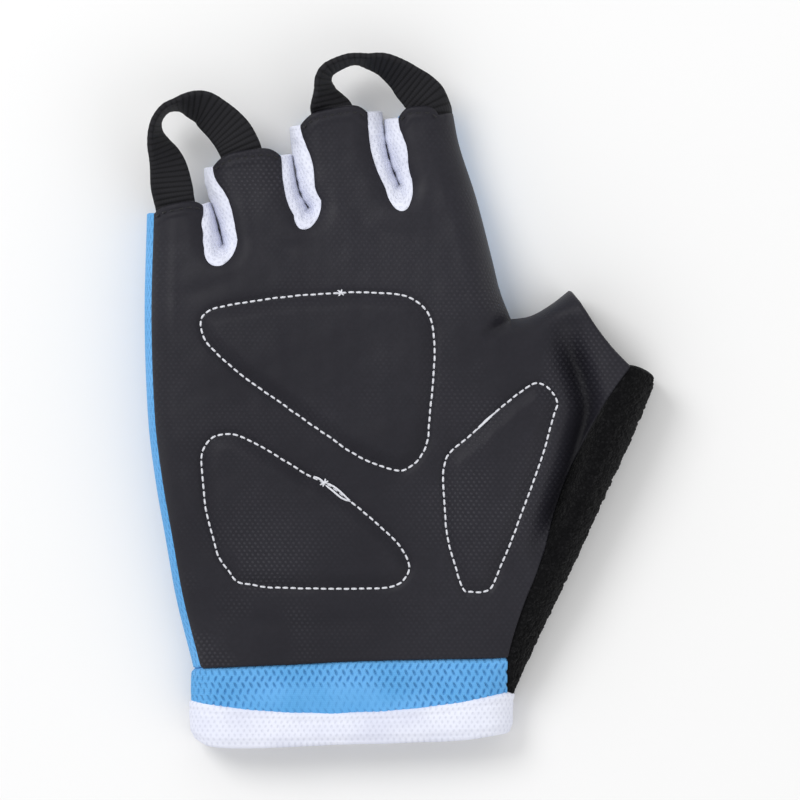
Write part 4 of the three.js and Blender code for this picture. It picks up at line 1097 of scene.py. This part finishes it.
def terry_look():
    n = Nodes("terry")
    place = n.place()
    loops = n.node("ShaderNodeTexVoronoi", "Distance", {"Vector": place, "Scale": 1300.0})
    tufts = n.noise(place, 700, 4, 0.65)
    color = n.blend(n.between(loops, 0.1, 0.7), (0.013, 0.013, 0.014), (0.003, 0.003, 0.0035))
    color = n.blend(n.between(tufts, 0.35, 0.7), (0.0025, 0.0025, 0.003), color)
    normal = n.bump(tufts, 0.0006, 0.8)
    normal = n.bump(n.rest(loops), 0.0004, 0.8, normal)
    return n.set(color=color, rough=0.95, normal=normal, specular=0.06, sheen=0.04,
                 sheen_rough=0.6)


def webbing_look():
    n = Nodes("webbing")
    uv, place = n.uv(), n.place()
    ribs = n.math("ABSOLUTE", n.math("SINE", n.times(n.split(uv)[1], math.pi / RIB)))
    weave = n.staggered(uv, 0.62, RIB, 0.24, 0.5, 0.7)
    fluff = n.noise(place, 1800, 3)
    # Painted highlight and shade: the rib tops are coloured lighter and the grooves between them
    # darker, over the ribs the loops' shape already has.
    color = n.blend(n.between(ribs, 0.05, 0.8), (0.003, 0.003, 0.0037), (0.0122, 0.0119, 0.0142))
    color = n.blend(n.times(weave, 0.3), color, (0.022, 0.022, 0.026))
    color = n.blend(n.times(fluff, 0.25), color, (0.02, 0.02, 0.023))
    normal = n.bump(weave, 0.0001, 0.6)
    normal = n.bump(fluff, 0.0001, 0.4, normal)
    return n.set(color=color, rough=0.7, normal=normal, specular=0.15)


def thread_look(name, low, high, rough):
    n = Nodes(name)
    place = n.place()
    twist = n.node("ShaderNodeTexWave", "Fac", {"Vector": place, "Scale": 900.0, "Distortion": 3.0})
    color = n.blend(twist, low, high)
    return n.set(color=color, rough=rough, normal=n.bump(twist, 0.0001, 0.5), specular=0.3,
                 sheen=0.15)


def paint_crease_shade(piece, reach=2.3, fade=12.0):
    """Painted shade: the leather's colour is made darker down in the thumb's deep fold, where shade
    falls.
    """
    mesh = piece.data
    place = np.empty(3 * len(mesh.vertices))
    mesh.vertices.foreach_get("co", place)
    p = place.reshape(-1, 3)[:, :2] / MM + ORIGIN
    line = Curve(THUMB_FOLD, n=60).p
    dark = bell(distance(line, p) / reach) * (0.2 + 0.8 * ramp(off_ends(line, p), 0, fade))
    layer = mesh.attributes.new("crease_shade", "FLOAT", "POINT")
    layer.data.foreach_set("value", dark.astype(np.float32))


def tufted(verts, uv):
    """Loose pile, laid flat towards the seam and the thumb's upper edge."""
    rng = np.random.default_rng(8)
    pile = 0.3 + rng.uniform(-0.24, 0.24, len(verts)) + ripple(verts[:, :2], 4, 2.2, 0.09)
    flat = ramp(uv[:, 0], 0.1, 1.3) * ramp(distance(thumb_top[0], verts[:, :2]), 0.2, 3)
    return pile * ramp(verts[:, 2], 0.0, 1.2) * flat - 0.25 * ramp(uv[:, 0], 1.0, 0.0)


def smoothed(verts):
    """Where the cuff is stretched and its holes close."""
    x, y, wide, deep = CALM
    return ramp(np.hypot((verts[:, 0] - x) / wide, (verts[:, 1] - y) / deep), 1.3, 0.5)


def knitted(verts, uv):
    """The weave of the cuff, tucked in under the leather's hem."""
    low = edge(PALM_HEM, verts[:, 0])[:, 1] - verts[:, 1]
    out = 0.12 + ripple(verts[:, :2], 9, 12, 0.2) * (verts[:, 2] > 4)
    out = out - 0.4 * staggered(uv, *BLUE_HOLES, BLUE_SLANT) * (1 - 0.7 * smoothed(verts))
    return out * ramp(low, 0.2, 2.4) - 1.1 * ramp(low, 1.4, -0.4)


def cushioned(verts, uv):
    """The binding's soft edge and the groove of its seam."""
    top = edge(BINDING_TOP, verts[:, 0])[:, 1] - verts[:, 1]
    low = verts[:, 1] - edge(BINDING_BOTTOM, verts[:, 0])[:, 1]
    lift = 0.75 * ramp(low, 0, 2.2) - 0.2 * bell((top - 1.6) / 0.55)
    return np.where(verts[:, 2] > 2.5, lift - 0.1 * ramp(top, 1.2, 0), 0.0)


def strand(points, lift=0.0):
    """A loose thread on the leather."""
    curve = Curve(points, n=24).p
    return raised(PALM, curve, True) + (0, 0, lift)


def crossing(x, y, long, turns):
    lines = []
    for k, turn in enumerate(turns):
        way = heading(turn) * long / 2
        lines.append(strand([(x, y) - way, (x + 0.1, y), (x, y) + way], 0.12 + 0.12 * k))
    return lines


def area(name, size, energy, place, aim=(0, 0, 0)):
    light = bpy.data.lights.new(name, "AREA")
    light.shape, light.size, light.energy = "DISK", size, energy
    lamp = bpy.data.objects.new(name, light)
    lamp.location = place
    turn = np.array(aim, float) - place
    lamp.rotation_euler = (math.atan2(math.hypot(turn[0], turn[1]), -turn[2]), 0,
                           math.atan2(turn[1], turn[0]) - math.pi / 2)
    scene.collection.objects.link(lamp)


# Materials
leather, blue, white = leather_look(), blue_look(), white_look()
terry, webbing = terry_look(), webbing_look()
white_thread = thread_look("white_thread", (0.55, 0.56, 0.62), (0.85, 0.86, 0.9), 0.7)
dark_thread = thread_look("dark_thread", (0.006, 0.006, 0.007), (0.02, 0.02, 0.023), 0.75)

# The shells
palm = finish(palm_panel().build("palm_leather"), "palm_panel", leather)
# Painted shade in the thumb's deep fold, read by the leather's colour
paint_crease_shade(palm)
finish(back_panel().build("back_mesh"), "back_panel", blue)
for stations, node in zip(slits, ("little_ring", "ring_middle", "middle_index")):
    finish(gusset(stations, "finger_gusset_" + node), "gusset_" + node, white)
finish(thumb_terry().build("terry_side", shape=tufted), "thumb_terry", terry)
finish(cuff_band().build("cuff_mesh_band", shape=knitted), "cuff_band", blue)
finish(wrist_binding().build("wrist_edge_binding", shape=cushioned), "wrist_binding",
       white)
for node, rows in LOOPS.items():
    finish(pull_loop(node.replace("pull_loop", "webbing_loop"), rows), node, webbing)

# Stitches
pad_paths = [raised(PALM, np.concatenate([line, line[:1]]), True) for line in pad_lines]
finish(threads("pad_stitches", pad_paths, 1.68, 0.2, 0.28), None, white_thread)
knots = crossing(3.5, 113.2, 1.7, (65, -40, 10)) + crossing(-0.6, 65.9, 1.9, (70, -15, 25))
knots += [strand([(-0.6, 66.1), (1.8, 65.0), (4.2, 63.0), (6.1, 61.0)], 0.2),
          strand([(-0.6, 65.6), (1.6, 63.9), (3.8, 62.1), (6.0, 61.2)], 0.15),
          strand([(-3.2, 67.5), (-1.8, 66.9), (-0.4, 65.8)], 0.2),
          strand([(37.3, 78.9), (39.4, 80.9), (41.6, 82.9)], 0.25),
          strand([(38.3, 80.2), (40.3, 82.0), (42.4, 83.7)], 0.15)]
finish(threads("thread_knots", knots, 30, 0, 0.27), None, white_thread)
tips = [raised(PALM, Curve(tip[1:-1] - (0, HEM_STITCH), n=60).p, True) for tip in hems]
finish(threads("tip_stitches", tips, 1.3, 0.6, 0.2), None, dark_thread)

# Floor, light and camera
bpy.ops.mesh.primitive_plane_add(size=8, location=(0, 0, -0.0002))
floor = bpy.context.object
floor.name = "floor"
ground = Nodes("floor")
floor.data.materials.append(ground.set(color=(0.82, 0.82, 0.82), rough=0.9, specular=0.1))
area("key", 0.9, 13.0, (-0.9, 0.8, 1.3))
area("fill", 1.6, 3.5, (1.3, -0.6, 1.2))
world = bpy.data.worlds.new("studio")
world.use_nodes = True
glow = world.node_tree.nodes["Background"]
glow.inputs["Color"].default_value = (1, 1, 1, 1)
glow.inputs["Strength"].default_value = 0.86
scene.world = world
scene.view_settings.view_transform = "Standard"

camera = bpy.data.cameras.new("camera")
camera.lens, camera.sensor_width = 430.0, 36.0
eye = bpy.data.objects.new("camera", camera)
eye.location = (0.00003, -0.00004, 2.4)
scene.collection.objects.link(eye)
scene.camera = eye
